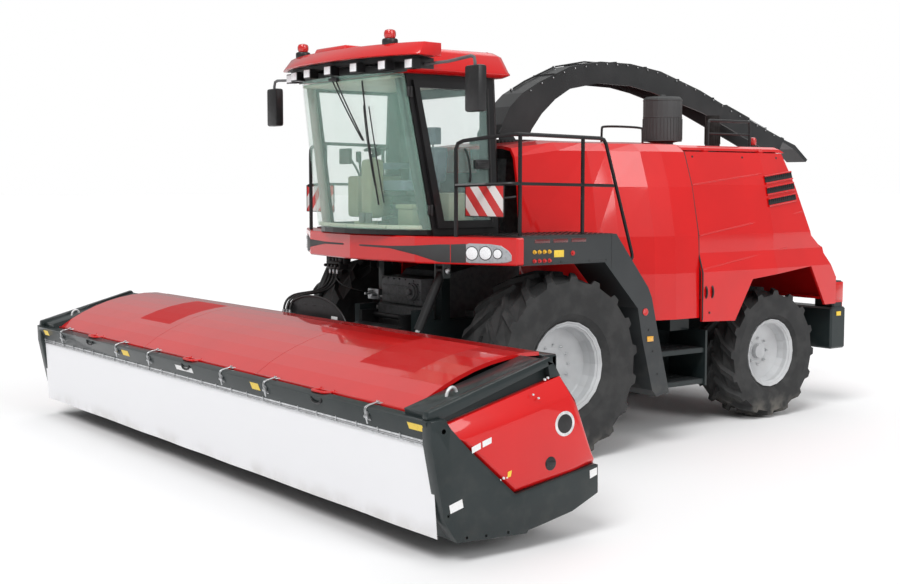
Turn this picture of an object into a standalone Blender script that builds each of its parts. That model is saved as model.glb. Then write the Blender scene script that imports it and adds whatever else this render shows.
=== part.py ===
# Self-propelled forage harvester with a covered direct-cut header.
# Metres. +X is the machine's left, -Y its front, +Z up. Lengths along Y are
# measured from the front axle; the root empty carries the whole machine to
# the middle of its length, on the ground.
import math
import bmesh
import bpy
from mathutils import Matrix, Vector

# General values
GAP = 0.0003
RUN_GAP = 0.0005
OVERRUN = 0.05
MERGE = 0.0001
LEFT = 1
RIGHT = -1
SIDES = (("left", LEFT), ("right", RIGHT))

# Wheels
WHEELBASE = 3.475
FRONT_TYRE_RADIUS = 0.904
FRONT_TYRE_WIDTH = 0.65
FRONT_TRACK_HALF = 1.485
FRONT_RIM_FLANGE = 0.441
FRONT_BEAD_RADIUS = 0.408
FRONT_RIM_HALF = 0.27
FRONT_HUB_RADIUS = 0.17
REAR_TYRE_RADIUS = 0.737
REAR_TYRE_WIDTH = 0.58
REAR_TRACK_HALF = 1.05
REAR_RIM_FLANGE = 0.382
REAR_BEAD_RADIUS = 0.352
REAR_RIM_HALF = 0.245
REAR_HUB_RADIUS = 0.14
LUG_HEIGHT = 0.045
RIM_WALL = 0.016
WHEEL_SEGMENTS = 20
SPINDLE_RADIUS = 0.06
SPINDLE_SEGMENTS = 12

# Frame and axles
RAIL_TOP = 1.30
RAIL_BOTTOM = 1.06
RAIL_WIDTH = 0.10
FRONT_RAIL_IN = 0.46
REAR_RAIL_IN = 0.25
FRAME_FRONT = -0.70
FRAME_STEP = 2.34
FRAME_REAR = 4.44
DECK_TOP = 2.15
DECK_PLATE = 0.05
DECK_BEAM_LOW = 1.90
DECK_HALF = 1.097
DECK_FRONT = -1.00
DECK_REAR = 0.20
KINGPIN_X = 0.66
KINGPIN_RADIUS = 0.07
YOKE_HALF = 0.19
YOKE_PLATE = 0.05
STEER_ARM = 0.36
TIE_ROD_RADIUS = 0.022
TIE_ROD_DROP = 0.12

# Cab
CAB_FLOOR_THICK = 0.06
CAB_FLOOR_STEP = 0.006
CAB_WALL = 0.06
CAB_TOP = 3.66
CAB_SIDE_X = 0.965
CAB_LEAN = 0.063
CAB_FRONT = -0.99
CAB_RAKE = 0.168
CAB_REAR = -0.12
GLASS_THICK = 0.008
DOOR_THICK = 0.035

# Spout
SPOUT_Y = 0.64
SPOUT_HALF = 0.17
SPOUT_SHEET = 0.015

# Header
HEADER_HALF = 3.853
HOOD_HALF = 3.449
HOOD_FRONT = (-2.978, 1.037)
HOOD_REAR = (-1.811, 1.370)
HOOD_CROWN = 0.10
HOOD_SHEET = 0.03
HOOD_COUNT = 3
LIFT_Y = -0.80
LIFT_Z = 1.30
CYLINDER_X = 0.98
CYLINDER_TOP = (-0.90, 1.82)
CYLINDER_FOOT = (-1.42, 0.80)
EAR_HALF = 0.055
AUGER_Y = -2.12
AUGER_Z = 0.60
AUGER_RADIUS = 0.34
KNIFE_PITCH = 0.1016

# Overall length, for the origin
FRONT_END = -3.12
REAR_END = 5.50
ORIGIN_Y = (FRONT_END + REAR_END) / 2

FRONT_AXLE_Z = FRONT_TYRE_RADIUS
REAR_AXLE_Z = REAR_TYRE_RADIUS

for old in list(bpy.data.objects):
    bpy.data.objects.remove(old)
scene_root = bpy.context.scene.collection
PARTS = bpy.data.collections.new("forage_harvester")
GUIDES = bpy.data.collections.new("cutters")
scene_root.children.link(PARTS)
scene_root.children.link(GUIDES)


def pivot(name, place, parent=None):
    """An empty on a joint's axis; place is in machine coordinates."""
    empty = bpy.data.objects.new(name, None)
    GUIDES.objects.link(empty)
    empty["place"] = tuple(place)
    if parent:
        empty.parent = parent
        empty.location = Vector(place) - Vector(parent["place"])
    return empty


MACHINE = pivot("machine", (0, 0, 0))
MACHINE.location = (0, -ORIGIN_Y, 0)


def paint(name, colour, roughness, metallic=0.0, alpha=1.0):
    mat = bpy.data.materials.new(name)
    mat.use_nodes = True
    shader = mat.node_tree.nodes["Principled BSDF"]
    shader.inputs["Base Color"].default_value = (*colour, 1.0)
    shader.inputs["Roughness"].default_value = roughness
    shader.inputs["Metallic"].default_value = metallic
    shader.inputs["Alpha"].default_value = alpha
    mat.diffuse_color = (*colour, alpha)
    return mat


RED = paint("red_enamel", (0.70, 0.012, 0.012), 0.25)
SLATE = paint("slate_paint", (0.022, 0.032, 0.032), 0.45)
GREY = paint("grey_paint", (0.075, 0.080, 0.082), 0.5)
BLACK = paint("black_paint", (0.012, 0.012, 0.013), 0.5)
TYRE = paint("tyre_rubber", (0.020, 0.021, 0.022), 0.85)
SILVER = paint("silver_wheel_paint", (0.62, 0.63, 0.64), 0.35, 0.4)
STEEL = paint("bare_steel", (0.45, 0.45, 0.46), 0.35, 0.9)
GLASS = paint("pale_green_glass", (0.72, 0.86, 0.80), 0.05, 0.0, 0.3)
CLOTH = paint("blue_grey_cloth", (0.20, 0.24, 0.30), 0.9)
BEIGE = paint("olive_beige_plastic", (0.36, 0.36, 0.27), 0.6)
CURTAIN = paint("white_tarpaulin", (0.86, 0.86, 0.88), 0.6)
IRON = paint("cast_iron", (0.06, 0.06, 0.065), 0.6, 0.3)


def new_object(name, mesh):
    obj = bpy.data.objects.new(name, mesh)
    GUIDES.objects.link(obj)
    obj.hide_render = True
    obj.display_type = "WIRE"
    return obj


def from_bmesh(name, bm):
    bmesh.ops.remove_doubles(bm, verts=bm.verts, dist=MERGE)
    bmesh.ops.recalc_face_normals(bm, faces=bm.faces)
    mesh = bpy.data.meshes.new(name)
    bm.to_mesh(mesh)
    bm.free()
    return new_object(name, mesh)


def settled(obj):
    """The object with its modifiers applied, as a welded mesh object."""
    view = bpy.context.view_layer
    view.update()
    depsgraph = bpy.context.evaluated_depsgraph_get()
    mesh = bpy.data.meshes.new_from_object(obj.evaluated_get(depsgraph))
    bm = bmesh.new()
    bm.from_mesh(mesh)
    bmesh.ops.remove_doubles(bm, verts=bm.verts, dist=MERGE)
    mesh.clear_geometry()
    bm.to_mesh(mesh)
    bm.free()
    made = new_object(obj.name, mesh)
    made.matrix_world = obj.matrix_world.copy()
    bpy.data.objects.remove(obj)
    return made


def baked(obj, matrix):
    obj.data.transform(matrix)
    if matrix.determinant() < 0:
        obj.data.flip_normals()
    return obj


def combine(operation, first, others, solver="EXACT"):
    """Boolean of a mesh object with others, which are used up."""
    for other in others:
        step = first.modifiers.new(operation.lower(), "BOOLEAN")
        step.operation = operation
        step.solver = solver
        step.object = other
    result = settled(first)
    for other in others:
        bpy.data.objects.remove(other)
    return result


def union(first, *others):
    return combine("UNION", first, others)


def cut(first, *others):
    return combine("DIFFERENCE", first, others)


def common(first, *others):
    return combine("INTERSECT", first, others)


def finish(obj, name, mat, parent=None, smooth=None):
    """Make a mesh object a named part, riding on a pivot."""
    mesh = obj.data
    mesh.materials.clear()
    mesh.materials.append(mat)
    mesh.name = name
    part = bpy.data.objects.new(name, mesh)
    part.name = name
    PARTS.objects.link(part)
    part.parent = parent or MACHINE
    part.location = -Vector(part.parent["place"])
    if smooth:
        mesh.shade_smooth()
        mesh.set_sharp_from_angle(angle=math.radians(smooth))
    bpy.data.objects.remove(obj)
    part.name = name
    return part


def box(low, high, bevel=0.0):
    bm = bmesh.new()
    bmesh.ops.create_cube(bm, size=1.0)
    size = Vector(high) - Vector(low)
    middle = (Vector(high) + Vector(low)) / 2
    bmesh.ops.scale(bm, vec=size, verts=bm.verts)
    bmesh.ops.translate(bm, vec=middle, verts=bm.verts)
    made = from_bmesh("box", bm)
    if bevel:
        made = rounded(made, bevel)
    return made


def rounded(obj, width, segments=1, angle=30):
    step = obj.modifiers.new("edge", "BEVEL")
    step.width = width
    step.segments = segments
    step.limit_method = "ANGLE"
    step.angle_limit = math.radians(angle)
    return settled(obj)


def rod(start, end, radius, segments=16, end_radius=None):
    """A cylinder, or a cone, between two points."""
    start, end = Vector(start), Vector(end)
    run = end - start
    bm = bmesh.new()
    bmesh.ops.create_cone(bm, cap_ends=True, segments=segments, radius1=radius,
                          radius2=radius if end_radius is None else end_radius,
                          depth=run.length)
    turn = Vector((0, 0, 1)).rotation_difference(run.normalized())
    bmesh.ops.rotate(bm, cent=(0, 0, 0), matrix=turn.to_matrix(), verts=bm.verts)
    bmesh.ops.translate(bm, vec=(start + end) / 2, verts=bm.verts)
    return from_bmesh("rod", bm)


# An outline's plane: how its (a, b) points and its thickness lie in space.
PLANES = {
    "YZ": Matrix(((0, 0, 1, 0), (1, 0, 0, 0), (0, 1, 0, 0), (0, 0, 0, 1))),
    "XZ": Matrix(((1, 0, 0, 0), (0, 0, -1, 0), (0, 1, 0, 0), (0, 0, 0, 1))),
    "XY": Matrix.Identity(4),
}


def plate(outline, plane, low, high, holes=()):
    """A flat outline, with holes, extruded between two levels of its axis."""
    curve = bpy.data.curves.new("outline", "CURVE")
    curve.dimensions = "2D"
    curve.fill_mode = "BOTH"
    curve.extrude = (high - low) / 2
    for loop in (outline, *holes):
        spline = curve.splines.new("POLY")
        spline.points.add(len(loop) - 1)
        for point, (a, b) in zip(spline.points, loop):
            point.co = (a, b, 0, 1)
        spline.use_cyclic_u = True
    flat = bpy.data.objects.new("outline", curve)
    GUIDES.objects.link(flat)
    made = settled(flat)
    middle = (low + high) / 2
    along = {"YZ": (middle, 0, 0), "XZ": (0, middle, 0), "XY": (0, 0, middle)}
    baked(made, Matrix.Translation(along[plane]) @ PLANES[plane])
    return outward(made)


def corner_path(points, radius, steps=2):
    """Points of a bent path: every inner corner becomes a round bend."""
    points = [Vector(p) for p in points]
    path = [points[0]]
    for before, corner, after in zip(points, points[1:], points[2:]):
        into = (before - corner).normalized()
        away = (after - corner).normalized()
        half = into.angle(away) / 2
        reach = min(radius / math.tan(half), (before - corner).length / 2,
                    (after - corner).length / 2)
        for step in range(steps + 1):
            share = step / steps
            start = corner + into * reach
            end = corner + away * reach
            path.append(start.lerp(corner, share).lerp(corner.lerp(end, share), share))
    path.append(points[-1])
    return path


def tube(points, radius, bend=0.0, resolution=1):
    """A round bar along a path, with closed ends."""
    path = corner_path(points, bend) if bend else [Vector(p) for p in points]
    curve = bpy.data.curves.new("tube", "CURVE")
    curve.dimensions = "3D"
    curve.bevel_depth = radius
    curve.bevel_resolution = resolution
    curve.use_fill_caps = True
    spline = curve.splines.new("POLY")
    spline.points.add(len(path) - 1)
    for point, place in zip(spline.points, path):
        point.co = (*place, 1)
    bar = bpy.data.objects.new("tube", curve)
    GUIDES.objects.link(bar)
    return settled(bar)


def turned(profile, place, axis, segments):
    """A (height, radius) profile, outer side first from top to bottom,
    turned round an axis through place."""
    mesh = bpy.data.meshes.new("profile")
    edges = [(i, i + 1) for i in range(len(profile) - 1)]
    mesh.from_pydata([(radius, 0, height) for height, radius in profile], edges, [])
    obj = new_object("profile", mesh)
    step = obj.modifiers.new("turn", "SCREW")
    step.axis = "Z"
    step.angle = math.tau
    step.steps = segments
    step.render_steps = segments
    step.use_merge_vertices = True
    step.merge_threshold = MERGE
    made = settled(obj)
    turn = Vector((0, 0, 1)).rotation_difference(Vector(axis)).to_matrix().to_4x4()
    baked(made, Matrix.Translation(place) @ turn)
    return outward(made)


def outward(obj):
    bm = bmesh.new()
    bm.from_mesh(obj.data)
    bmesh.ops.remove_doubles(bm, verts=bm.verts, dist=MERGE)
    bmesh.ops.recalc_face_normals(bm, faces=bm.faces)
    if bm.calc_volume(signed=True) < 0:
        bmesh.ops.reverse_faces(bm, faces=bm.faces)
    bm.to_mesh(obj.data)
    bm.free()
    return obj


def grid_sheet(rows, thickness, offset=-1.0):
    """A sheet over a grid of points, given as rows, with a wall thickness."""
    bm = bmesh.new()
    lattice = [[bm.verts.new(point) for point in row] for row in rows]
    for row, following in zip(lattice, lattice[1:]):
        for a, b, c, d in zip(row, row[1:], following[1:], following):
            bm.faces.new((a, b, c, d))
    mesh = bpy.data.meshes.new("sheet")
    bm.to_mesh(mesh)
    bm.free()
    obj = new_object("sheet", mesh)
    step = obj.modifiers.new("wall", "SOLIDIFY")
    step.thickness = thickness
    step.offset = offset
    step.use_even_offset = True
    return outward(settled(obj))


def mirrored(obj):
    """A copy of a mesh object on the machine's other side."""
    mesh = obj.data.copy()
    copy = new_object(obj.name, mesh)
    return baked(copy, Matrix.Scale(-1, 4, (1, 0, 0)))


def both_sides(obj):
    return union(obj, mirrored(obj))


def on_side(obj, side):
    return baked(obj, Matrix.Scale(-1, 4, (1, 0, 0))) if side == RIGHT else obj


# Tyres
# (share of half width, share of outer radius less lug, sweep in pitches)
TREAD_STATIONS = ((0.04, 1.0, 0.0), (0.50, 0.996, 0.55), (0.97, 0.955, 0.90))
LUG_WIDTH_SHARE = 0.30
LUG_DRAFT_SHARE = 0.16
# (share of half width, share from bead to tread radius) of the side wall
WALL_STATIONS = ((1.0, 0.66), (0.95, 0.24))


def ring(bm, count, x, radius, angles):
    return [bm.verts.new((x, -radius * math.sin(a), radius * math.cos(a))) for a in angles]


def stitch(bm, first, second):
    """Triangles between two closed rings whose points differ in angle."""
    def angle(vert):
        return math.atan2(-vert.co.y, vert.co.z) % math.tau

    one = sorted(first, key=angle)
    two = sorted(second, key=angle)
    i = j = 0
    while i < len(one) or j < len(two):
        next_one = angle(one[(i + 1) % len(one)]) + (math.tau if i + 1 >= len(one) else 0)
        next_two = angle(two[(j + 1) % len(two)]) + (math.tau if j + 1 >= len(two) else 0)
        a, b = one[i % len(one)], two[j % len(two)]
        if j >= len(two) or (i < len(one) and next_one <= next_two):
            bm.faces.new((a, one[(i + 1) % len(one)], b))
            i += 1
        else:
            bm.faces.new((a, two[(j + 1) % len(two)], b))
            j += 1


def tyre(radius, width, bead_radius, bead_half, flange_radius, lugs):
    """A field tyre: two rows of swept lugs raised from one closed skin."""
    bm = bmesh.new()
    base_radius = radius - LUG_HEIGHT
    pitch = math.tau / lugs
    half_width = width / 2
    edge_rings = []
    middle_rings = []
    for side in (LEFT, RIGHT):
        shift = 0 if side == LEFT else pitch / 2
        base, top = [], []
        for out_share, radius_share, sweep in TREAD_STATIONS:
            x = side * half_width * out_share
            low = base_radius * radius_share
            lows, highs = [], []
            for lug in range(lugs):
                middle = lug * pitch + shift + sweep * pitch
                foot = pitch * LUG_WIDTH_SHARE / 2 * (1 + 0.35 * out_share)
                crest = foot - pitch * LUG_DRAFT_SHARE / 2
                lows += [middle - foot, middle + foot]
                highs += [middle - crest, middle + crest]
            base.append(ring(bm, lugs, x, low, lows))
            top.append(ring(bm, lugs, x, low + LUG_HEIGHT, highs))
        last = len(TREAD_STATIONS) - 1
        for level in range(last):
            for lug in range(lugs):
                one, two = 2 * lug, 2 * lug + 1
                gap_end = (2 * lug + 2) % (2 * lugs)
                b0, b1 = base[level], base[level + 1]
                t0, t1 = top[level], top[level + 1]
                bm.faces.new((b0[one], b1[one], t1[one], t0[one]))
                bm.faces.new((t0[one], t1[one], t1[two], t0[two]))
                bm.faces.new((t0[two], t1[two], b1[two], b0[two]))
                bm.faces.new((b0[two], b1[two], b1[gap_end], b0[gap_end]))
        for lug in range(lugs):
            one, two = 2 * lug, 2 * lug + 1
            for level in (0, last):
                bm.faces.new((base[level][one], top[level][one], top[level][two], base[level][two]))
        middle_rings.append(base[0])
        bead_x = side * bead_half
        wall = [base[last]]
        even = [pitch / 2 * k for k in range(2 * lugs)]
        for out_share, radius_share in WALL_STATIONS:
            reach = bead_radius + (base_radius - bead_radius) * radius_share
            wall.append(ring(bm, lugs, side * half_width * out_share, reach, even))
        wall.append(ring(bm, lugs, bead_x, (flange_radius + GAP) / math.cos(pitch / 4), even))
        wall.append(ring(bm, lugs, bead_x, bead_radius, even))
        for inner, outer in zip(wall, wall[1:]):
            stitch(bm, inner, outer)
        edge_rings.append(wall[-1])
    stitch(bm, *middle_rings)
    stitch(bm, *edge_rings)
    return outward(from_bmesh("tyre", bm))


def seat_radius(bead_radius, lugs):
    """The largest round rim that clears the tyre's faceted bead."""
    return (bead_radius * math.cos(math.pi / (2 * lugs))) - GAP


# Steps of a rim's outer face: (share of half width, share from seat to flange)
RIM_DISC_SHARE = 0.10
RIM_CAP_SHARE = 0.55


def rim(half, seat, flange, hub, hub_inner, bore, bore_end):
    """A wheel rim with its dished disc and hub, as one turned profile
    (axial place, radius); axial places grow outward."""
    lip = RIM_WALL
    inside = seat - RIM_WALL
    disc = half * RIM_DISC_SHARE
    cap = hub * RIM_CAP_SHARE
    step = inside - RIM_WALL * 2
    return [
        (disc + 4.2 * lip, 0),
        (disc + 4.2 * lip, cap),
        (disc + lip, cap + lip / 2),
        (disc + lip, hub),
        (disc + 4 * lip, step),
        (disc + 8 * lip, inside),
        (half - 2.5 * lip, inside),
        (half, flange - lip / 2),
        (half, flange),
        (half - lip, flange),
        (half - lip, seat),
        (-half + lip, seat),
        (-half + lip, flange),
        (-half, flange),
        (-half + 2.5 * lip, inside),
        (disc + 5 * lip, inside),
        (disc, hub + 2 * lip),
        (disc, hub * 0.9),
        (hub_inner, hub * 0.9),
        (hub_inner, bore),
        (bore_end, bore),
        (bore_end, 0),
    ]


def wheel(corner, side, place, values, lugs, parent):
    """Tyre and rim of one wheel, on the pivot at its axle line."""
    radius, width, bead, half, flange, hub = values
    name = f"{corner}_{'left' if side == LEFT else 'right'}"
    body = tyre(radius, width, bead, half - RIM_WALL - GAP, flange, lugs)
    body.data.transform(Matrix.Translation(place))
    finish(body, f"tyre_{name}", TYRE, parent, smooth=28)
    hub_inner = HUB_FACE[corner] - abs(place[0])
    profile = rim(half, seat_radius(bead, lugs), flange, hub, hub_inner,
                  SPINDLE_RADIUS, hub_inner + SPINDLE_DEPTH)
    disc = turned(profile, place, (side, 0, 0), WHEEL_SEGMENTS)
    finish(disc, f"rim_{name}", SILVER, parent, smooth=28)


HUB_FACE = {"front": 1.12 + RUN_GAP, "rear": 0.76 + RUN_GAP}
SPINDLE_DEPTH = 0.22
SPINDLE_FIT = SPINDLE_RADIUS * math.cos(math.pi / WHEEL_SEGMENTS) - RUN_GAP
FRONT_WHEEL = (FRONT_TYRE_RADIUS, FRONT_TYRE_WIDTH, FRONT_BEAD_RADIUS, FRONT_RIM_HALF,
               FRONT_RIM_FLANGE, FRONT_HUB_RADIUS)
REAR_WHEEL = (REAR_TYRE_RADIUS, REAR_TYRE_WIDTH, REAR_BEAD_RADIUS, REAR_RIM_HALF,
              REAR_RIM_FLANGE, REAR_HUB_RADIUS)
FRONT_LUGS = 18
REAR_LUGS = 16


def spindle(inner, outer, y, z):
    return rod((inner, y, z), (outer, y, z), SPINDLE_FIT, SPINDLE_SEGMENTS)


def make_wheels():
    for word, side in SIDES:
        spot = (side * FRONT_TRACK_HALF, 0, FRONT_AXLE_Z)
        hub = pivot(f"front_wheel_{word}_axis", spot, MACHINE)
        wheel("front", side, spot, FRONT_WHEEL, FRONT_LUGS, hub)
        steer = pivot(f"kingpin_{word}", (side * KINGPIN_X, WHEELBASE, REAR_AXLE_Z), MACHINE)
        make_knuckle(word, side, steer)
        spot = (side * REAR_TRACK_HALF, WHEELBASE, REAR_AXLE_Z)
        hub = pivot(f"rear_wheel_{word}_axis", spot, steer)
        wheel("rear", side, spot, REAR_WHEEL, REAR_LUGS, hub)
        if side == LEFT:
            make_tie_rod(steer)


def make_knuckle(word, side, steer):
    """Steered knuckle: kingpin barrel, flange, spindle and steering arm."""
    z, y = REAR_AXLE_Z, WHEELBASE
    low, high = z - YOKE_HALF + RUN_GAP, z + YOKE_HALF - RUN_GAP
    barrel = rod((KINGPIN_X, y, low), (KINGPIN_X, y, high), KINGPIN_RADIUS, 20)
    flange_in = HUB_FACE["rear"] - RUN_GAP
    flange = rod((KINGPIN_X, y, z), (flange_in, y, z), REAR_HUB_RADIUS * 0.8, 20)
    stub = spindle(KINGPIN_X, HUB_FACE["rear"] + SPINDLE_DEPTH - RUN_GAP, y, z)
    arm_z = z - TIE_ROD_DROP
    arm = box((KINGPIN_X - 0.03, y, arm_z - 0.02), (KINGPIN_X + 0.03, y + STEER_ARM + 0.035, arm_z + 0.02))
    knuckle = union(barrel, flange, stub, arm)
    finish(on_side(knuckle, side), f"knuckle_{word}", BLACK, steer, smooth=30)


def make_tie_rod(steer):
    """Track rod that joins both steering arms, on top of their ends."""
    y = WHEELBASE + STEER_ARM
    z = REAR_AXLE_Z - TIE_ROD_DROP + 0.02 + RUN_GAP
    head = 0.032
    level = z + head
    end = pivot("tie_rod_pin", (KINGPIN_X, y, z), steer)
    bar = rod((-KINGPIN_X, y, level), (KINGPIN_X, y, level), TIE_ROD_RADIUS, 12)
    eyes = [rod((x, y, z), (x, y, z + 2 * head), head, 14) for x in (-KINGPIN_X, KINGPIN_X)]
    finish(union(bar, *eyes), "tie_rod", BLACK, end, smooth=30)


# Frame and axles
def make_frame():
    """Ladder frame with uprights, deck beams, deck and bearing brackets."""
    front_out = FRONT_RAIL_IN + RAIL_WIDTH
    rear_out = REAR_RAIL_IN + RAIL_WIDTH
    half = [
        box((FRONT_RAIL_IN, FRAME_FRONT - 0.20, RAIL_BOTTOM), (front_out, FRAME_STEP, RAIL_TOP)),
        box((FRONT_RAIL_IN, FRAME_FRONT - 0.20, RAIL_TOP - 0.1), (front_out, FRAME_FRONT, RAIL_TOP + 0.1)),
        box((REAR_RAIL_IN, FRAME_STEP - 0.14, RAIL_BOTTOM), (rear_out, FRAME_REAR, RAIL_TOP)),
        box((FRONT_RAIL_IN, -0.60, RAIL_TOP - 0.1), (front_out, -0.50, DECK_BEAM_LOW + 0.1)),
        box((FRONT_RAIL_IN, 0.95, RAIL_TOP - 0.1), (front_out, 1.05, DECK_BEAM_LOW + 0.1)),
        box((0.83, -0.95, DECK_BEAM_LOW), (0.93, 1.05, DECK_TOP - DECK_PLATE)),
        box((CYLINDER_X - EAR_HALF - 0.02, -0.94, 1.75), (CYLINDER_X - EAR_HALF, -0.86, DECK_BEAM_LOW + 0.05)),
        box((CYLINDER_X + EAR_HALF, -0.94, 1.75), (CYLINDER_X + EAR_HALF + 0.02, -0.86, DECK_BEAM_LOW + 0.05)),
    ]
    half_frame = union(*half)
    middle = [
        box((-DECK_HALF, -0.95, DECK_BEAM_LOW), (DECK_HALF, -0.85, DECK_TOP - 0.02)),
        box((-DECK_HALF, -0.20, DECK_BEAM_LOW), (DECK_HALF, -0.10, DECK_TOP - 0.02)),
        box((-0.93, 0.95, DECK_BEAM_LOW), (0.93, 1.05, DECK_TOP - DECK_PLATE)),
        box((-0.90, DECK_FRONT, DECK_TOP - DECK_PLATE), (0.90, DECK_REAR, DECK_TOP)),
        box((-1.10, 2.05, RAIL_BOTTOM), (1.10, FRAME_STEP, RAIL_TOP)),
        box((-0.60, FRAME_REAR - 0.10, RAIL_BOTTOM), (0.60, FRAME_REAR, RAIL_TOP)),
        box((-rear_out, WHEELBASE - 0.12, REAR_AXLE_Z + 0.11 + GAP),
            (rear_out, WHEELBASE + 0.12, RAIL_BOTTOM + 0.05)),
    ]
    frame = union(half_frame, mirrored(half_frame), *middle)
    finish(frame, "main_frame", SLATE)


def make_front_axle():
    """Driven axle: beam, middle gearbox, final drives, spindles, saddles."""
    z = FRONT_AXLE_Z
    face = HUB_FACE["front"] - RUN_GAP
    beam = rod((-face + 0.1, 0, z), (face - 0.1, 0, z), 0.12, 12)
    gearbox = box((-0.24, -0.20, z - 0.19), (0.24, 0.20, z + 0.14), 0.05)
    pieces = [gearbox]
    for side in (LEFT, RIGHT):
        pieces.append(rod((side * (face - 0.24), 0, z), (side * face, 0, z), 0.21, 16))
        pieces.append(spindle(side * (face - 0.1), side * (face + RUN_GAP + SPINDLE_DEPTH - 2 * RUN_GAP), 0, z))
        inner, outer = sorted((side * FRONT_RAIL_IN, side * (FRONT_RAIL_IN + RAIL_WIDTH)))
        pieces.append(box((inner, -0.14, z), (outer, 0.14, RAIL_BOTTOM - GAP)))
    finish(union(beam, *pieces), "front_axle", BLACK, smooth=30)


def make_rear_axle():
    """Steered axle: box beam hung under the frame, with a yoke at each end."""
    z, y = REAR_AXLE_Z, WHEELBASE
    half = 0.11
    pieces = []
    for side in (LEFT, RIGHT):
        for low in (-YOKE_HALF - YOKE_PLATE, YOKE_HALF):
            ends = sorted((side * (KINGPIN_X - 0.20), side * (KINGPIN_X + KINGPIN_RADIUS)))
            pieces.append(box((ends[0], y - 0.07, z + low), (ends[1], y + 0.07, z + low + YOKE_PLATE)))
        ends = sorted((side * (KINGPIN_X - 0.20), side * (KINGPIN_X - 0.11)))
        pieces.append(box((ends[0], y - 0.07, z - YOKE_HALF - YOKE_PLATE),
                          (ends[1], y + 0.07, z + YOKE_HALF + YOKE_PLATE)))
    beam = box((-KINGPIN_X + 0.12, y - 0.09, z - half), (KINGPIN_X - 0.12, y + 0.09, z + half))
    finish(union(beam, *pieces), "rear_axle", BLACK)


def make_engine():
    finish(box((-0.50, 2.60, RAIL_TOP + GAP), (0.50, 3.90, 2.45), 0.06), "engine_block", IRON)


# Chopper housing, outline in (Y, Z)
CHOPPER_OUTLINE = ((-0.70, 0.80), (-0.30, 0.80), (-0.24, 1.09), (0.35, 1.09), (0.95, 1.40),
                   (0.85, 1.75), (0.81, 2.90), (0.47, 2.90), (0.40, 1.90), (-0.35, 1.75), (-0.70, 1.40))
CHOPPER_HALF = 0.42


def make_chopper():
    """Cutterhead housing with the chute that rises to the spout."""
    body = plate(CHOPPER_OUTLINE, "YZ", -CHOPPER_HALF, CHOPPER_HALF)
    trim = [box((side * 0.45 - 0.20, 0.10, 1.90), (side * 0.45 + 0.20, 1.10, 3.0)) for side in (LEFT, RIGHT)]
    ears = box((-0.55, -0.20, RAIL_TOP + GAP), (0.55, 0.30, RAIL_TOP + 0.06))
    finish(union(cut(body, *trim), ears), "chopper_housing", BLACK)


# Feeder and header
FEEDER_OUTLINE = ((-1.66, 0.42), (-1.66, 1.05), (-0.95, 1.24), (-0.84, 1.16), (-0.80, 0.90), (-1.0, 0.62))


def make_feeder(lift):
    """Feed-roll housing with its pivot ears, carrier plate and ram ears."""
    body = plate([(y + (-GAP if y < -1.65 else 0) + 2 * GAP, z) for y, z in FEEDER_OUTLINE], "YZ", -0.40, 0.40)
    pieces = [box((-1.06, -1.66 + GAP, 0.45), (1.06, -1.56, 1.15)),
              rod((-FRONT_RAIL_IN + RUN_GAP, LIFT_Y, LIFT_Z), (FRONT_RAIL_IN - RUN_GAP, LIFT_Y, LIFT_Z), 0.03, 16)]
    for side in (LEFT, RIGHT):
        for inner in (CYLINDER_X - EAR_HALF - 0.02, CYLINDER_X + EAR_HALF):
            ends = sorted((side * inner, side * (inner + 0.02)))
            pieces.append(box((ends[0], -1.60, 0.74), (ends[1], -1.38, 0.86)))
        ends = sorted((side * 0.33, side * 0.39))
        pieces.append(box((ends[0], -0.96, 1.05), (ends[1], LIFT_Y + 0.04, LIFT_Z + 0.05)))
    finish(union(body, *pieces), "feeder_housing", BLACK, lift)


BARREL_RADIUS = 0.045
ROD_RADIUS = 0.0262
RAM_BORE = 0.027
BARREL_LENGTH = 0.62


def make_lift_rams(lift):
    """Lift rams: barrel hung from the deck beam, rod down to the feeder."""
    top = Vector((0, *CYLINDER_TOP))
    foot = Vector((0, *CYLINDER_FOOT))
    run = foot - top
    along = run.normalized()
    half_eye = Vector((EAR_HALF - RUN_GAP, 0, 0))
    for word, side in SIDES:
        shift = Vector((side * CYLINDER_X, 0, 0))
        hang = pivot(f"ram_{word}_top", top + shift, MACHINE)
        profile = [(0.03, 0), (0.03, BARREL_RADIUS), (BARREL_LENGTH, BARREL_RADIUS),
                   (BARREL_LENGTH, RAM_BORE), (0.20, RAM_BORE), (0.20, 0)]
        barrel = turned(profile, top + shift, along, 20)
        eye = rod(top + shift - half_eye, top + shift + half_eye, 0.042, 16)
        finish(union(barrel, eye), f"ram_barrel_{word}", BLACK, hang, smooth=30)
        slide = pivot(f"ram_{word}_rod", foot + shift, hang)
        shaft = rod(top + shift + along * 0.42, foot + shift, ROD_RADIUS, 20)
        eye = rod(foot + shift - half_eye, foot + shift + half_eye, 0.042, 16)
        finish(union(shaft, eye), f"ram_rod_{word}", STEEL, slide, smooth=30)


# Header end box, outline in (Y, Z)
HEADER_END = ((-3.02, 0.85), (-2.88, 0.16), (-2.27, 0.13), (-1.83, 0.22), (-1.57, 0.34), (-1.58, 0.56),
              (-1.72, 0.93), (-1.93, 1.26), (-2.00, 1.38), (-3.12, 1.09))
END_INNER = 3.46
END_OUTER = 3.80
COVER_OUTLINE = ((-2.90, 0.97), (-1.95, 1.22), (-1.72, 0.90), (-1.60, 0.56), (-2.37, 0.43), (-2.80, 0.86))
BEAM_FRONT = -3.12
WALL_REAR = -1.66


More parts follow.
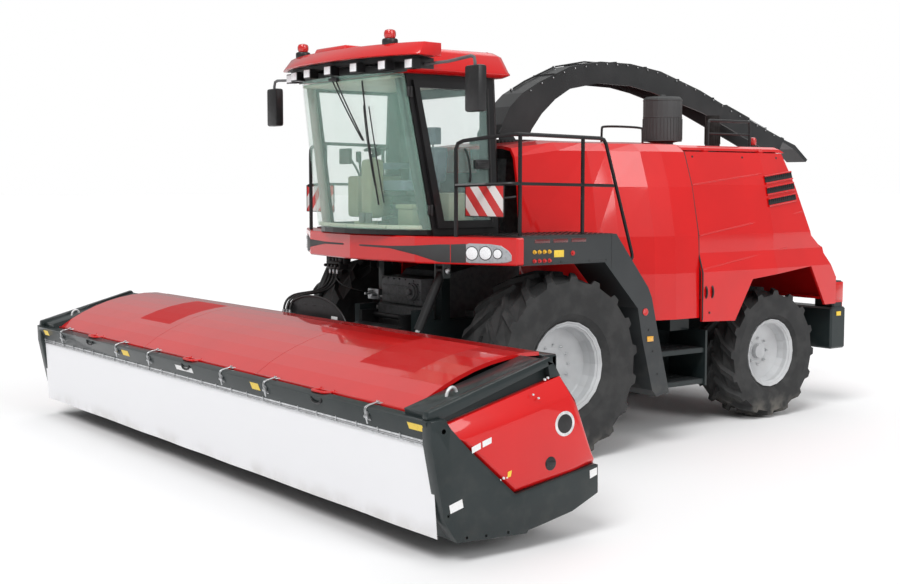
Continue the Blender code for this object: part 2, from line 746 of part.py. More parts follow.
def make_header_frame(lift):
    """Welded header body: end boxes, rear wall, beams, floor and trough."""
    ends = []
    for side in (LEFT, RIGHT):
        low, high = sorted((side * END_INNER, side * END_OUTER))
        ends.append(plate(HEADER_END, "YZ", low, high))
    wall = box((-END_INNER - 0.02, WALL_REAR - 0.04, 0.34), (END_INNER + 0.02, WALL_REAR, 1.33))
    beam = box((-END_INNER - 0.02, WALL_REAR - 0.14, 1.20), (END_INNER + 0.02, WALL_REAR, 1.345))
    low_beam = box((-END_INNER - 0.02, WALL_REAR - 0.16, 0.22), (END_INNER + 0.02, WALL_REAR - 0.02, 0.36))
    front = box((-HEADER_HALF, BEAM_FRONT, 0.86), (HEADER_HALF, BEAM_FRONT + 0.10, 1.02))
    ledge = box((-END_INNER - 0.02, BEAM_FRONT + 0.09, 0.94), (END_INNER + 0.02, -2.955, hood_profile(HOOD_SHEET)[0][1] - GAP))
    clear = AUGER_RADIUS + 0.02
    arc = [(AUGER_Y + clear * math.cos(math.radians(a)), AUGER_Z + clear * math.sin(math.radians(a)))
           for a in range(-10, -121, -22)]
    outer = [(AUGER_Y + (clear + 0.012) * math.cos(math.radians(a)),
              AUGER_Z + (clear + 0.012) * math.sin(math.radians(a))) for a in range(-120, -9, 22)]
    apron = [(-2.60, 0.165), (-2.60, 0.153)]
    trough = plate(arc + apron + outer, "YZ", -END_INNER - 0.02, END_INNER + 0.02)
    mouth = box((-0.40, WALL_REAR - 0.5, 0.42), (0.40, WALL_REAR + OVERRUN, 1.0))
    frame = cut(union(wall, beam, low_beam, front, ledge, trough, *ends), mouth)
    finish(frame, "header_frame", SLATE, lift)
    for word, side in SIDES:
        low, high = sorted((side * (END_OUTER + GAP), side * HEADER_HALF))
        cover = rounded(plate(COVER_OUTLINE, "YZ", low, high), 0.02)
        finish(cover, f"header_cover_{word}", RED, lift)


def hood_profile(offset):
    """Crowned section of the hood, pushed inward by offset."""
    front, rear = Vector(HOOD_FRONT), Vector(HOOD_REAR)
    normal = Vector((front.y - rear.y, rear.x - front.x)).normalized()
    points = []
    for step in range(9):
        share = step / 8
        bulge = HOOD_CROWN * math.sin(math.pi * share) ** 0.8
        point = front.lerp(rear, share) + normal * (bulge - offset)
        points.append((point.x, point.y))
    return points


def make_hoods(lift):
    hinge_place = (HOOD_REAR[0] + 0.02, HOOD_REAR[1] - 0.01)
    width = 2 * HOOD_HALF / HOOD_COUNT
    for number in range(HOOD_COUNT):
        low = -HOOD_HALF + number * width + RUN_GAP * 5
        high = low + width - RUN_GAP * 10
        axis = pivot(f"hood_{number + 1}_hinge", ((low + high) / 2, *hinge_place), lift)
        outline = hood_profile(0.0) + hood_profile(HOOD_SHEET)[::-1]
        finish(plate(outline, "YZ", low, high), f"hood_{number + 1}", RED, axis, smooth=30)


def make_curtain(lift):
    outline = ((-3.035, 0.86 - GAP), (-3.029, 0.86 - GAP), (-2.994, 0.19), (-3.0, 0.19))
    finish(plate(outline, "YZ", -HEADER_HALF, HEADER_HALF), "curtain", CURTAIN, lift)


SHAFT_RADIUS = 0.12
FLIGHT_PITCH = 0.70
FLIGHT_STEPS = 7
FLIGHT_HALF_ANGLE = 0.045
PADDLE_HALF = 0.42
FLIGHT_END = 0.03
SHAFT_SIDES = 5


def auger_ring(bm, x, angle, fin_radius):
    """One section of the auger: the tube with its flight standing on it."""
    stops = [(angle - FLIGHT_HALF_ANGLE, SHAFT_RADIUS), (angle - FLIGHT_HALF_ANGLE, fin_radius),
             (angle + FLIGHT_HALF_ANGLE, fin_radius), (angle + FLIGHT_HALF_ANGLE, SHAFT_RADIUS)]
    stops += [(angle + math.tau * k / SHAFT_SIDES, SHAFT_RADIUS) for k in range(1, SHAFT_SIDES)]
    return [bm.verts.new((x, AUGER_Y + radius * math.sin(a), AUGER_Z + radius * math.cos(a)))
            for a, radius in stops]


def make_auger(lift):
    """Cross auger as one loft: flights of both hands bring the crop to the
    straight paddle in the middle."""
    axis = pivot("auger_axis", (0, AUGER_Y, AUGER_Z), lift)
    reach = END_INNER - RUN_GAP
    run = reach - FLIGHT_END - PADDLE_HALF
    count = round(run / FLIGHT_PITCH * FLIGHT_STEPS)
    half = [(PADDLE_HALF, 0.0, AUGER_RADIUS)]
    for step in range(1, count + 1):
        turn = math.tau * run / FLIGHT_PITCH * step / count
        half.append((PADDLE_HALF + run * step / count, turn, AUGER_RADIUS))
    half.append((reach - FLIGHT_END / 2, half[-1][1], SHAFT_RADIUS * 1.05))
    half.append((reach, half[-1][1], SHAFT_RADIUS * 1.05))
    stations = [(-x, turn, radius) for x, turn, radius in half[::-1]] + half
    bm = bmesh.new()
    rings = [auger_ring(bm, *station) for station in stations]
    for one, two in zip(rings, rings[1:]):
        for a, b, c, d in zip(one, one[1:] + one[:1], two[1:] + two[:1], two):
            bm.faces.new((a, b, c, d))
    bm.faces.new(rings[0])
    bm.faces.new(rings[-1])
    bmesh.ops.triangulate(bm, faces=bm.faces)
    finish(outward(from_bmesh("auger", bm)), "auger", STEEL, axis)


CUTTER_HALF = 3.44
CUTTER_REAR = -2.60
CUTTER_FRONT = -2.76
FINGER_TIP = -2.86
CUTTER_TOP = 0.165


def comb(half, pitch, rear, front, tip, root_half):
    """Outline in (X, Y) of a bar with evenly spaced pointed fingers."""
    count = int(2 * half / pitch)
    start = -count * pitch / 2
    line = [(half, rear), (-half, rear), (-half, front)]
    for number in range(count):
        middle = start + (number + 0.5) * pitch
        if root_half < pitch / 2:
            line.append((middle - root_half, front))
        line += [(middle, tip), (middle + min(root_half, pitch / 2), front)]
    return line[:-1] + [(half, front)]


def make_cutterbar(lift):
    """Guarded cutter bar and its reciprocating knife."""
    outline = comb(CUTTER_HALF, KNIFE_PITCH, CUTTER_REAR - GAP, CUTTER_FRONT, FINGER_TIP, KNIFE_PITCH / 2)
    finish(plate(outline, "XY", CUTTER_TOP - 0.014, CUTTER_TOP), "cutter_bar", BLACK, lift)
    axis = pivot("knife_axis", (0, CUTTER_FRONT, CUTTER_TOP), lift)
    outline = comb(CUTTER_HALF - 0.06, KNIFE_PITCH, CUTTER_REAR - 0.06, CUTTER_FRONT + 0.02,
                   CUTTER_FRONT - 0.05, KNIFE_PITCH / 2)
    finish(plate(outline, "XY", CUTTER_TOP + RUN_GAP, CUTTER_TOP + RUN_GAP + 0.004), "knife", STEEL, axis)


# Cab
def lean_matrix():
    """Shear that leans a left-side piece in toward the roof."""
    shear = Matrix.Identity(4)
    shear[0][2] = -CAB_LEAN
    shear[0][3] = CAB_LEAN * DECK_TOP
    return shear


def side_piece(outline, inner, outer, side):
    made = plate(outline, "YZ", inner, outer)
    baked(made, lean_matrix())
    return on_side(made, side)


def raked(y, z):
    return y - CAB_RAKE * (z - DECK_TOP)


def cab_section(inset, low, high):
    """Loft of the cab's plan between two levels, inset by the wall."""
    bm = bmesh.new()
    rings = []
    for z in (low, high):
        x = CAB_SIDE_X - CAB_LEAN * (z - DECK_TOP) - inset
        y = raked(CAB_FRONT, z) + inset
        rear = CAB_REAR - inset
        corner = 0.09
        plan = ((x, y), (x, rear - corner), (x - corner, rear), (-x + corner, rear), (-x, rear - corner), (-x, y))
        rings.append([bm.verts.new((a, b, z)) for a, b in plan])
    low_ring, high_ring = rings
    count = len(low_ring)
    for i in range(count):
        bm.faces.new((low_ring[i], low_ring[(i + 1) % count], high_ring[(i + 1) % count], high_ring[i]))
    bm.faces.new(low_ring[::-1])
    bm.faces.new(high_ring)
    return outward(from_bmesh("cab", bm))


WINDOW_LOW = 2.24
WINDOW_HIGH = 3.58
SIDE_REAR = -0.27
POST_WIDTH = 0.07


def side_window(grow, low=WINDOW_LOW, high=WINDOW_HIGH):
    """Side opening outline, grown or shrunk, following the raked post."""
    front_low = raked(CAB_FRONT, low) + POST_WIDTH - grow
    front_high = raked(CAB_FRONT, high) + POST_WIDTH - grow
    return ((front_low, low - grow), (front_high, high + grow), (SIDE_REAR + grow, high + grow),
            (SIDE_REAR + grow, low - grow))


def windscreen_rows(low, high, count):
    rows = []
    for step in range(count + 1):
        z = low + (high - low) * step / count
        share = step / count
        half = CAB_SIDE_X - CAB_LEAN * (z - DECK_TOP) - 0.005
        bow = 0.36 - 0.06 * share
        row = []
        for column in range(9):
            t = -1 + 2 * column / 8
            row.append((half * math.sin(t * math.pi / 2),
                        raked(CAB_FRONT, z) - 0.012 - bow * math.cos(t * math.pi / 2), z))
        rows.append(row)
    return rows


def make_cab():
    base = DECK_TOP + GAP
    shell = cab_section(0, base, CAB_TOP)
    hollow = cab_section(CAB_WALL, base + CAB_FLOOR_THICK, CAB_TOP + OVERRUN)
    rear_low, rear_high, rear_half = 2.75, 3.52, 0.62
    rear_cut = box((-rear_half, CAB_REAR - 0.2, rear_low), (rear_half, CAB_REAR + OVERRUN, rear_high))
    front_cut = cab_section(CAB_WALL + 0.004, base + CAB_FLOOR_THICK - 0.003, CAB_TOP - 0.03)
    front_cut.data.transform(Matrix.Translation((0, -0.3, 0)))
    side_cuts = [side_piece(side_window(0), 0.7, 1.2, side) for side in (LEFT, RIGHT)]
    toe = [((CAB_SIDE_X - 0.02) * math.sin(math.radians(a)), CAB_FRONT + 0.08 - 0.46 * math.cos(math.radians(a)))
           for a in range(-90, 91, 15)]
    sill = plate(toe + [(0.8, CAB_FRONT + 0.25), (-0.8, CAB_FRONT + 0.25)], "XY", base + CAB_FLOOR_STEP,
                 base + CAB_FLOOR_THICK - CAB_FLOOR_STEP)
    body = union(cut(shell, hollow, rear_cut, front_cut, *side_cuts), sill)
    finish(body, "cab_body", BLACK)
    rows = windscreen_rows(base + CAB_FLOOR_THICK - CAB_FLOOR_STEP + GAP, CAB_TOP - GAP, 3)
    finish(grid_sheet(rows, GLASS_THICK, -1.0), "windscreen", GLASS, smooth=40)
    pane = side_piece(side_window(-GAP), CAB_SIDE_X - 0.035, CAB_SIDE_X - 0.035 + GLASS_THICK, RIGHT)
    finish(pane, "side_glass_right", GLASS)
    finish(box((-rear_half + GAP, CAB_REAR - 0.035, rear_low + GAP),
               (rear_half - GAP, CAB_REAR - 0.035 + GLASS_THICK, rear_high - GAP)), "rear_glass", GLASS)


DOOR_INNER = CAB_SIDE_X + RUN_GAP
DOOR_HINGE_Z = 2.9
DOOR_LAP = 0.02
DOOR_HINGE_OUT = 0.005
DOOR_HINGE_AHEAD = 0.02


def make_door():
    """Glazed door hung on the front post, outside the door opening."""
    hinge_x = DOOR_INNER + DOOR_THICK + DOOR_HINGE_OUT - CAB_LEAN * (DOOR_HINGE_Z - DECK_TOP)
    hinge_y = raked(CAB_FRONT, DOOR_HINGE_Z) + POST_WIDTH - DOOR_LAP - DOOR_HINGE_AHEAD
    axis = pivot("door_hinge", (hinge_x, hinge_y, DOOR_HINGE_Z), MACHINE)
    leaf = side_piece(side_window(DOOR_LAP), DOOR_INNER, DOOR_INNER + DOOR_THICK, LEFT)
    hole = side_piece(side_window(-0.05), DOOR_INNER - OVERRUN, DOOR_INNER + DOOR_THICK + OVERRUN, LEFT)
    finish(cut(leaf, hole), "door_frame", BLACK, axis)
    pane = side_piece(side_window(-0.05 - GAP), DOOR_INNER + 0.012, DOOR_INNER + 0.012 + GLASS_THICK, LEFT)
    finish(pane, "door_glass", GLASS, axis)


def make_roof():
    """Cab roof with its front visor and two beacons."""
    base = CAB_TOP + GAP
    slab = rounded(box((-0.98, -1.30, base), (0.98, -0.02, 3.90)), 0.05, 2)
    outer, inner = [], []
    for a in range(-60, 61, 15):
        angle = math.radians(a)
        share = math.sin(angle) / math.sin(math.radians(60))
        outer.append((1.23 * share, -1.34 - 0.28 * (math.cos(angle) - 0.5) / 0.5))
        inner.append((1.20 * share, -1.05 - 0.10 * (math.cos(angle) - 0.5) / 0.5))
    visor = plate(outer + inner[::-1], "XY", 3.80, 3.92)
    beacons = []
    for side in (LEFT, RIGHT):
        profile = [(0.14, 0), (0.14, 0.03), (0.10, 0.05), (0.03, 0.052), (0.03, 0.06), (-0.03, 0.06), (-0.03, 0)]
        beacons.append(turned(profile, (side * 0.79, -1.36, 3.92), (0, 0, 1), 10))
    finish(union(slab, visor, *beacons), "cab_roof", RED)


def make_roof_lamps():
    """Work lamps on their rail under the visor."""
    base = CAB_TOP + GAP
    places = []
    for a in range(-60, 61, 20):
        angle = math.radians(a)
        share = math.sin(angle) / math.sin(math.radians(60))
        places.append((1.08 * share, -1.33 - 0.20 * (math.cos(angle) - 0.5) / 0.5))
    rail = [(x, y + 0.03) for x, y in places] + [(x, y + 0.08) for x, y in places[::-1]]
    bar = plate(rail, "XY", 3.755, 3.80 - GAP)
    lamps = [box((x - 0.06, y - 0.02, 3.68), (x + 0.06, y + 0.07, 3.77)) for x, y in places]
    stays = [box((side * 0.5 - 0.04, -1.42, base + 0.08), (side * 0.5 + 0.04, -1.30 - GAP, 3.80 - GAP))
             for side in (LEFT, RIGHT)]
    finish(union(bar, *lamps, *stays), "roof_lamps", BLACK)


def make_cab_inside():
    """Seat on its pedestal, and the steering column with its wheel."""
    floor = DECK_TOP + GAP + CAB_FLOOR_THICK + GAP
    pedestal = box((-0.18, -0.72, floor), (0.18, -0.38, 2.56))
    cushion = box((-0.27, -0.86, 2.54), (0.27, -0.32, 2.68), 0.03)
    back = box((-0.26, -0.40, 2.60), (0.26, -0.27, 3.22), 0.03)
    arm = box((-0.40, -0.80, 2.74), (-0.28, -0.36, 2.86), 0.02)
    link = box((-0.30, -0.50, 2.60), (-0.20, -0.40, 2.80))
    finish(union(pedestal, cushion, back, arm, link), "seat", CLOTH)
    column = rod((0, -1.12, floor + 0.02), (0, -1.02, 2.93), 0.05, 12, 0.03)
    foot = rod((0, -1.12, floor - CAB_FLOOR_STEP), (0, -1.12, floor + 0.06), 0.12, 12)
    hoop = [(0.19 * math.cos(math.tau * i / 14), 0.19 * math.sin(math.tau * i / 14), 0) for i in range(14)]
    ring_curve = tube(hoop + hoop[:1], 0.013)
    tilt = Matrix.Translation((0, -1.0, 2.98)) @ Matrix.Rotation(math.radians(25), 4, "X")
    baked(ring_curve, tilt)
    spoke = box((-0.19, -0.02, -0.012), (0.19, 0.02, 0.012))
    baked(spoke, tilt)
    hub = rod((0, 0, -0.06), (0, 0, 0.015), 0.05, 12)
    baked(hub, tilt)
    finish(union(column, foot, ring_curve, spoke, hub), "steering_column", BEIGE)


# Front bodywork
FASCIA_LOW = 1.90
FASCIA_LINE = ((0, -1.31), (0.95, -1.20), (1.70, -0.80), (1.86, -0.71), (1.86, -0.625))


def make_fascia():
    """Red band that wraps the deck's front edge, with both headlamps."""
    right = [(-x, y) for x, y in FASCIA_LINE[:0:-1]]
    back = [(DECK_HALF + GAP, -0.625), (DECK_HALF + GAP, DECK_FRONT - GAP), (-DECK_HALF - GAP, DECK_FRONT - GAP),
            (-DECK_HALF - GAP, -0.625)]
    band = plate(right + list(FASCIA_LINE) + back, "XY", FASCIA_LOW, DECK_TOP)
    finish(rounded(band, 0.012), "front_fascia", RED)


# Console and leg, outline in (Y, Z)
CONSOLE_OUTLINE = ((-0.62, 1.89), (-0.62, 2.16), (0.59, 2.16), (1.03, 1.62), (1.08, 1.52), (1.18, 1.13),
                   (1.34, 0.55), (1.17, 0.52), (1.10, 0.59), (0.95, 1.13), (0.89, 1.42), (0.44, 1.89))
CONSOLE_OUTER = 1.78


def make_consoles():
    """Side deck boxes over the front wheels, with the leg behind."""
    for word, side in SIDES:
        outer = plate(CONSOLE_OUTLINE, "YZ", 1.30, CONSOLE_OUTER)
        inner = box((DECK_HALF + GAP, -0.62, 1.89), (1.32, 0.44, 2.16))
        finish(on_side(union(outer, inner), side), f"console_{word}", GREY)


# Body panels
# (Y, plan half width) of the fixed front body
BODY_PLAN = ((0.02, 1.00), (0.60, 1.02), (1.00, 1.05), (1.25, 1.11), (1.60, 1.27), (1.85, 1.32), (2.185, 1.335))
# (Z, inset from the plan line)
BODY_LEVELS = ((1.22, -0.03), (1.70, -0.02), (2.09, 0.0), (2.60, 0.10), (2.96, 0.22), (3.03, 0.32), (3.055, 0.60))
BODY_SHEET = 0.03


def make_body_front():
    """Fixed bodywork behind the cab: both sides and the top in one skin,
    with the bulkhead it stands on."""
    rows = []
    for y, half in BODY_PLAN:
        fade = min(1, 0.45 + 0.55 * (y / 1.6))
        drop = 0.07 * max(0, 1 - y / 0.6)
        row = [(half - inset * fade, y, z - (drop if z > 2.9 else 0)) for z, inset in BODY_LEVELS]
        rows.append(row + [(0, y, BODY_LEVELS[-1][0] + 0.005 - drop)] + [(-a, b, c) for a, b, c in row[::-1]])
    skin = grid_sheet(rows, BODY_SHEET, -1.0)
    bulkhead = box((-1.24, 2.10, RAIL_TOP + GAP), (1.24, 2.13, 2.30))
    upper = box((-0.98, 2.10, 2.20), (0.98, 2.13, 3.04))
    hole = rod((0, SPOUT_Y, 2.7), (0, SPOUT_Y, 3.3), TURRET_HOLE, 24)
    finish(union(cut(skin, hole), bulkhead, upper), "body_front", RED, smooth=25)


SEAM_Y = 2.195
HULL_SECTION = ((1.10, 1.40), (1.70, 1.40), (1.90, 1.335), (2.09, 1.330), (2.62, 1.22), (2.99, 1.10))
PANEL_OUTLINE = ((2.195, 1.18), (2.195, 2.985), (3.82, 2.985), (4.14, 2.05), (4.30, 1.93), (4.58, 1.55),
                 (4.58, 1.24), (4.36, 1.24), (4.06, 1.70), (2.99, 1.60), (2.71, 1.16))
PANEL_SHEET = 0.03
PANEL_HINGE = (1.103, 2.997)
HINGE_STATIONS = (2.55, 3.45)
HINGE_PIN = 0.006
HINGE_BORE = 0.0067
HINGE_KNUCKLE = 0.016
HINGE_HALF = 0.03
HINGE_LUG = 0.012
LUG_HALF = 0.0075


def knuckle_ring(y, side):
    """Hinge eye on a hatch's top edge, round the hood's pin."""
    profile = [(HINGE_HALF, HINGE_BORE), (HINGE_HALF, HINGE_KNUCKLE), (-HINGE_HALF, HINGE_KNUCKLE),
               (-HINGE_HALF, HINGE_BORE), (HINGE_HALF, HINGE_BORE)]
    return turned(profile[::-1], (side * PANEL_HINGE[0], y, PANEL_HINGE[1]), (0, 1, 0), 8)


def hinge_pin(y, side):
    """Pin with a lug at either end, on the fixed hood's edge."""
    x, z = side * PANEL_HINGE[0], PANEL_HINGE[1]
    reach = HINGE_HALF + RUN_GAP
    pieces = [rod((x, y - reach - HINGE_LUG, z), (x, y + reach + HINGE_LUG, z), HINGE_PIN, 8)]
    for end in (-reach - HINGE_LUG, reach):
        ends = sorted((side * 1.055, side * (PANEL_HINGE[0] + LUG_HALF)))
        pieces.append(box((ends[0], y + end, z - LUG_HALF), (ends[1], y + end + HINGE_LUG, z + LUG_HALF)))
    return pieces


def hull_taper(y):
    return 1 - 0.05 * max(0, (y - 3.4) / 0.8)


def make_engine_panels():
    """Side hatches of the engine bay, hung from the top edge, each with
    its wheel arch."""
    for word, side in SIDES:
        rows = []
        for y in (2.15, 2.6, 3.0, 3.4, 3.8, 4.2, 4.7):
            rows.append([(half * hull_taper(y), y, z) for z, half in HULL_SECTION])
        sheet = grid_sheet(rows, PANEL_SHEET, -1.0)
        outline = plate(PANEL_OUTLINE, "YZ", 0.9, 1.6)
        leaf = on_side(common(sheet, outline), side)
        leaf = union(leaf, *[knuckle_ring(y, side) for y in HINGE_STATIONS])
        axis = pivot(f"engine_panel_{word}_hinge", (side * PANEL_HINGE[0], 3.0, PANEL_HINGE[1]), MACHINE)
        finish(leaf, f"engine_panel_{word}", RED, axis, smooth=25)


HOOD_FOOT = 0.03
HOOD_RIBBON = ((2.195, 3.0), (2.195, 3.055), (3.78, 3.055), (3.88, 3.0), (4.17, 2.05), (4.48, 1.9),
               (4.48, RAIL_TOP + GAP), (4.36, RAIL_TOP + GAP), (4.36, RAIL_TOP + HOOD_FOOT),
               (4.445, RAIL_TOP + HOOD_FOOT), (4.445, 1.87), (4.12, 2.03), (3.83, 2.95), (3.74, 3.0))


def make_engine_hood():
    """Fixed top and rear wall of the engine bay."""
    ribbon = plate(HOOD_RIBBON, "YZ", -1.5, 1.5)
    inset = PANEL_SHEET + 0.012
    side = [(half * 0.95 - inset - 0.03, z) for z, half in HULL_SECTION]
    top = [(1.085, 2.9905), (1.07, 3.03), (1.02, 3.06)]
    half = side + top
    outline = half + [(-x, z) for x, z in half[::-1]]
    section = plate(outline, "XZ", 2.0, 5.0)
    pins = [piece for y in HINGE_STATIONS for side in (LEFT, RIGHT) for piece in hinge_pin(y, side)]
    finish(union(common(ribbon, section), *pins), "engine_hood", RED)


def make_rear_bumper():
    """Rear ballast box with its brackets and both lamp pods."""
    box_part = rounded(box((-1.31, 4.53, 0.70), (1.31, 4.80, 1.19)), 0.02)
    arms = [box((side * 0.3 - 0.08, FRAME_REAR + GAP, 0.95), (side * 0.3 + 0.08, 4.58, 1.18)) for side in (LEFT, RIGHT)]
    pods = [box((side * 1.14 - 0.14, 4.60, 1.15), (side * 1.14 + 0.14, 4.78, 1.50), 0.02) for side in (LEFT, RIGHT)]
    finish(union(box_part, *arms, *pods), "rear_bumper", SLATE)


BOX_TOP = RAIL_BOTTOM - GAP


def make_side_boxes():
    """Step niches under the body on both sides, on their cross beam."""
    beam = box((-0.76, 1.80, 0.96), (0.76, 1.95, BOX_TOP))
    pieces = []
    for side in (LEFT, RIGHT):
        def span(inner, outer):
            return sorted((side * inner, side * outer))
        a, b = span(0.70, 0.74)
        pieces.append(box((a, 1.42, 0.46), (b, 2.44, BOX_TOP)))
        for z in (0.48, 0.82):
            a, b = span(0.72, 1.26)
            pieces.append(box((a, 1.44, z), (b, 2.42, z + 0.05)))
        for y in (1.42, 2.41):
            a, b = span(0.72, 1.28)
            pieces.append(box((a, y, 0.46), (b, y + 0.03, BOX_TOP)))
    finish(union(beam, *pieces), "side_boxes", SLATE)


# Rails and mirrors
RAIL_RADIUS = 0.019
# Left handrail: runs of points (X, Y, Z)
RAIL_LOOP = ((1.30, -0.98, DECK_TOP + GAP), (1.30, -0.98, 3.02), (1.70, -0.62, 3.09), (1.70, 0.50, 3.07),
             (1.70, 0.892, 1.916), (1.70, 0.8305, 1.8655))
MID_RAIL = ((1.31, -1.00, 2.62), (1.70, -0.62, 2.64), (1.70, 0.62, 2.62))


def make_handrails():
    for word, side in SIDES:
        loop = tube(RAIL_LOOP, RAIL_RADIUS, 0.08)
        middle = tube(MID_RAIL, RAIL_RADIUS * 0.9, 0.05)
        posts = [tube(((1.70, y, 2.16 + GAP), (1.70, y, 3.08)), RAIL_RADIUS) for y in (-0.55, 0.22)]
        finish(on_side(union(loop, middle, *posts), side), f"handrail_{word}", BLACK, smooth=40)


def make_mirrors():
    for word, side in SIDES:
        arm = tube(((0.98 + GAP, -1.10, 3.74), (1.34, -1.10, 3.74), (1.79, -1.14, 3.76), (1.79, -1.14, 3.60)), 0.016, 0.06)
        glass = box((1.69, -1.18, 3.27), (1.89, -1.08, 3.67), 0.02)
        finish(on_side(union(arm, glass), side), f"mirror_{word}", BLACK)


# Roof-level engine fittings
def make_stacks():
    """Air pre-cleaner drum and exhaust pipe on the engine hood."""
    top = 3.055 + GAP
    drum = [(0.545, 0), (0.545, 0.19), (0.52, 0.215), (0.06, 0.215), (0.04, 0.12), (0, 0.12), (0, 0)]
    finish(turned(drum, (0.55, 2.46, top), (0, 0, 1), 24), "air_precleaner", GREY, smooth=30)
    pipe = [(0.36, 0), (0.36, 0.085), (0, 0.085), (0, 0)]
    finish(turned(pipe, (0.62, 3.2, top), (0, 0, 1), 20), "exhaust_pipe", BLACK, smooth=30)


# Spout, side outline in (Y, Z): upper line, then lower line from the tip
SPOUT_UPPER = ((0.46, 3.14), (0.47, 3.26), (0.58, 3.45), (0.75, 3.60), (0.99, 3.73), (1.42, 3.91), (1.87, 3.99),
               (2.33, 3.99), (2.81, 3.93), (3.48, 3.74), (4.01, 3.54), (4.95, 3.22))
SPOUT_LOWER = ((4.87, 2.98), (4.37, 3.17), (3.52, 3.48), (2.65, 3.69), (2.33, 3.74), (1.84, 3.75), (1.42, 3.67),
               (1.21, 3.55), (1.02, 3.39), (0.88, 3.22), (0.84, 3.14))
SPOUT_HINGE = (0.50, 3.175)
SPOUT_PIN = 0.03
SPOUT_EAR = ((0.43, 3.08), (0.42, 3.175), (0.46, 3.235), (0.54, 3.235), (0.58, 3.175), (0.66, 3.08))
EAR_SHEET = 0.022
TURRET_RADIUS = 0.36
TURRET_HOLE = 0.385
TURRET_TOP = 3.10
TURRET_LOW = 2.90
FLAP_HINGE = (4.985, 3.19)
FLAP_PIN = 0.012
FLAP_EAR = ((4.90, 3.16), (4.93, 3.22), (4.97, 3.225), (5.012, 3.21), (5.015, 3.175), (4.98, 3.15), (4.92, 3.05))
PIN_SEGMENTS = 16


def round_hole(place, radius):
    """A round hole's outline whose flats clear a pin of this radius."""
    reach = (radius + RUN_GAP) / math.cos(math.pi / PIN_SEGMENTS)
    steps = [math.tau * k / PIN_SEGMENTS for k in range(PIN_SEGMENTS)]
    return [(place[0] + reach * math.cos(a), place[1] + reach * math.sin(a)) for a in steps]


def make_spout():
    """Slewing turret, lifting curved chute and end flap."""
    slew = pivot("spout_slew", (0, SPOUT_Y, 3.0), MACHINE)
    low = TURRET_LOW + RUN_GAP
    ring_part = turned([(TURRET_TOP - low, 0), (TURRET_TOP - low, TURRET_RADIUS), (0, TURRET_RADIUS), (0, 0)],
                       (0, SPOUT_Y, low), (0, 0, 1), 28)
    inner = SPOUT_HALF + RUN_GAP
    bed = box((-inner - EAR_SHEET + GAP, 0.43, 3.072), (inner + EAR_SHEET - GAP, 0.84, 3.10 - GAP))
    ears = []
    for side in (LEFT, RIGHT):
        near, far = sorted((side * inner, side * (inner + EAR_SHEET)))
        ears.append(plate(SPOUT_EAR, "YZ", near, far, [round_hole(SPOUT_HINGE, SPOUT_PIN)]))
    finish(union(ring_part, bed, *ears), "spout_turret", BLACK, slew, smooth=30)
    lift = pivot("spout_lift", (0, *SPOUT_HINGE), slew)
    outer = plate(SPOUT_UPPER + SPOUT_LOWER, "YZ", -SPOUT_HALF, SPOUT_HALF)
    sheet = SPOUT_SHEET
    under = [(y + (sheet if y < 0.5 else 0), z - (sheet if y > 0.5 else 0)) for y, z in SPOUT_UPPER[1:-1]]
    tips = [(5.2, SPOUT_UPPER[-1][1] - 2 * sheet), (5.2, 2.5)]
    below = [(y, z - 0.2) for y, z in SPOUT_LOWER[:-1]]
    channel = plate([(0.50, 3.0)] + under + tips + below, "YZ", -SPOUT_HALF + sheet, SPOUT_HALF - sheet)
    hollow = cut(outer, channel)
    pins, lugs = [], []
    for side in (LEFT, RIGHT):
        pins.append(rod((side * (SPOUT_HALF - sheet / 2), *SPOUT_HINGE), (side * (inner + EAR_SHEET), *SPOUT_HINGE),
                        SPOUT_PIN, PIN_SEGMENTS))
        near, far = sorted((side * (SPOUT_HALF - sheet + GAP), side * (SPOUT_HALF - GAP)))
        lugs.append(plate(FLAP_EAR, "YZ", near, far, [round_hole(FLAP_HINGE, FLAP_PIN)]))
    finish(union(hollow, *pins, *lugs), "spout", BLACK, lift)
    flap_axis = pivot("spout_flap_hinge", (0, *FLAP_HINGE), lift)
    half = SPOUT_HALF - sheet - RUN_GAP * 6
    outline = ((5.00, 3.205), (5.25, 3.13), (5.50, 2.95), (5.47, 2.92), (5.22, 3.08), (4.99, 3.175))
    flap = plate(outline, "YZ", -half, half)
    barrel = rod((-half, *FLAP_HINGE), (half, *FLAP_HINGE), FLAP_PIN * 1.7, 12)
    pin = rod((-SPOUT_HALF + GAP, *FLAP_HINGE), (SPOUT_HALF - GAP, *FLAP_HINGE), FLAP_PIN, PIN_SEGMENTS)
    finish(union(flap, barrel, pin), "spout_flap", BLACK, flap_axis)


make_frame()
make_front_axle()
make_rear_axle()
make_engine()
make_chopper()
make_wheels()
LIFT = pivot("header_lift", (0, LIFT_Y, LIFT_Z), MACHINE)
make_feeder(LIFT)
make_lift_rams(LIFT)
make_header_frame(LIFT)
make_hoods(LIFT)
make_curtain(LIFT)
make_auger(LIFT)
make_cutterbar(LIFT)
make_cab()
make_door()
make_roof()
make_roof_lamps()
make_cab_inside()
make_fascia()
make_consoles()
make_body_front()
make_engine_panels()
make_engine_hood()
make_rear_bumper()
make_side_boxes()
make_handrails()
make_mirrors()
make_stacks()
make_spout()
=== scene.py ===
import math

import bpy
from mathutils import Matrix, Vector


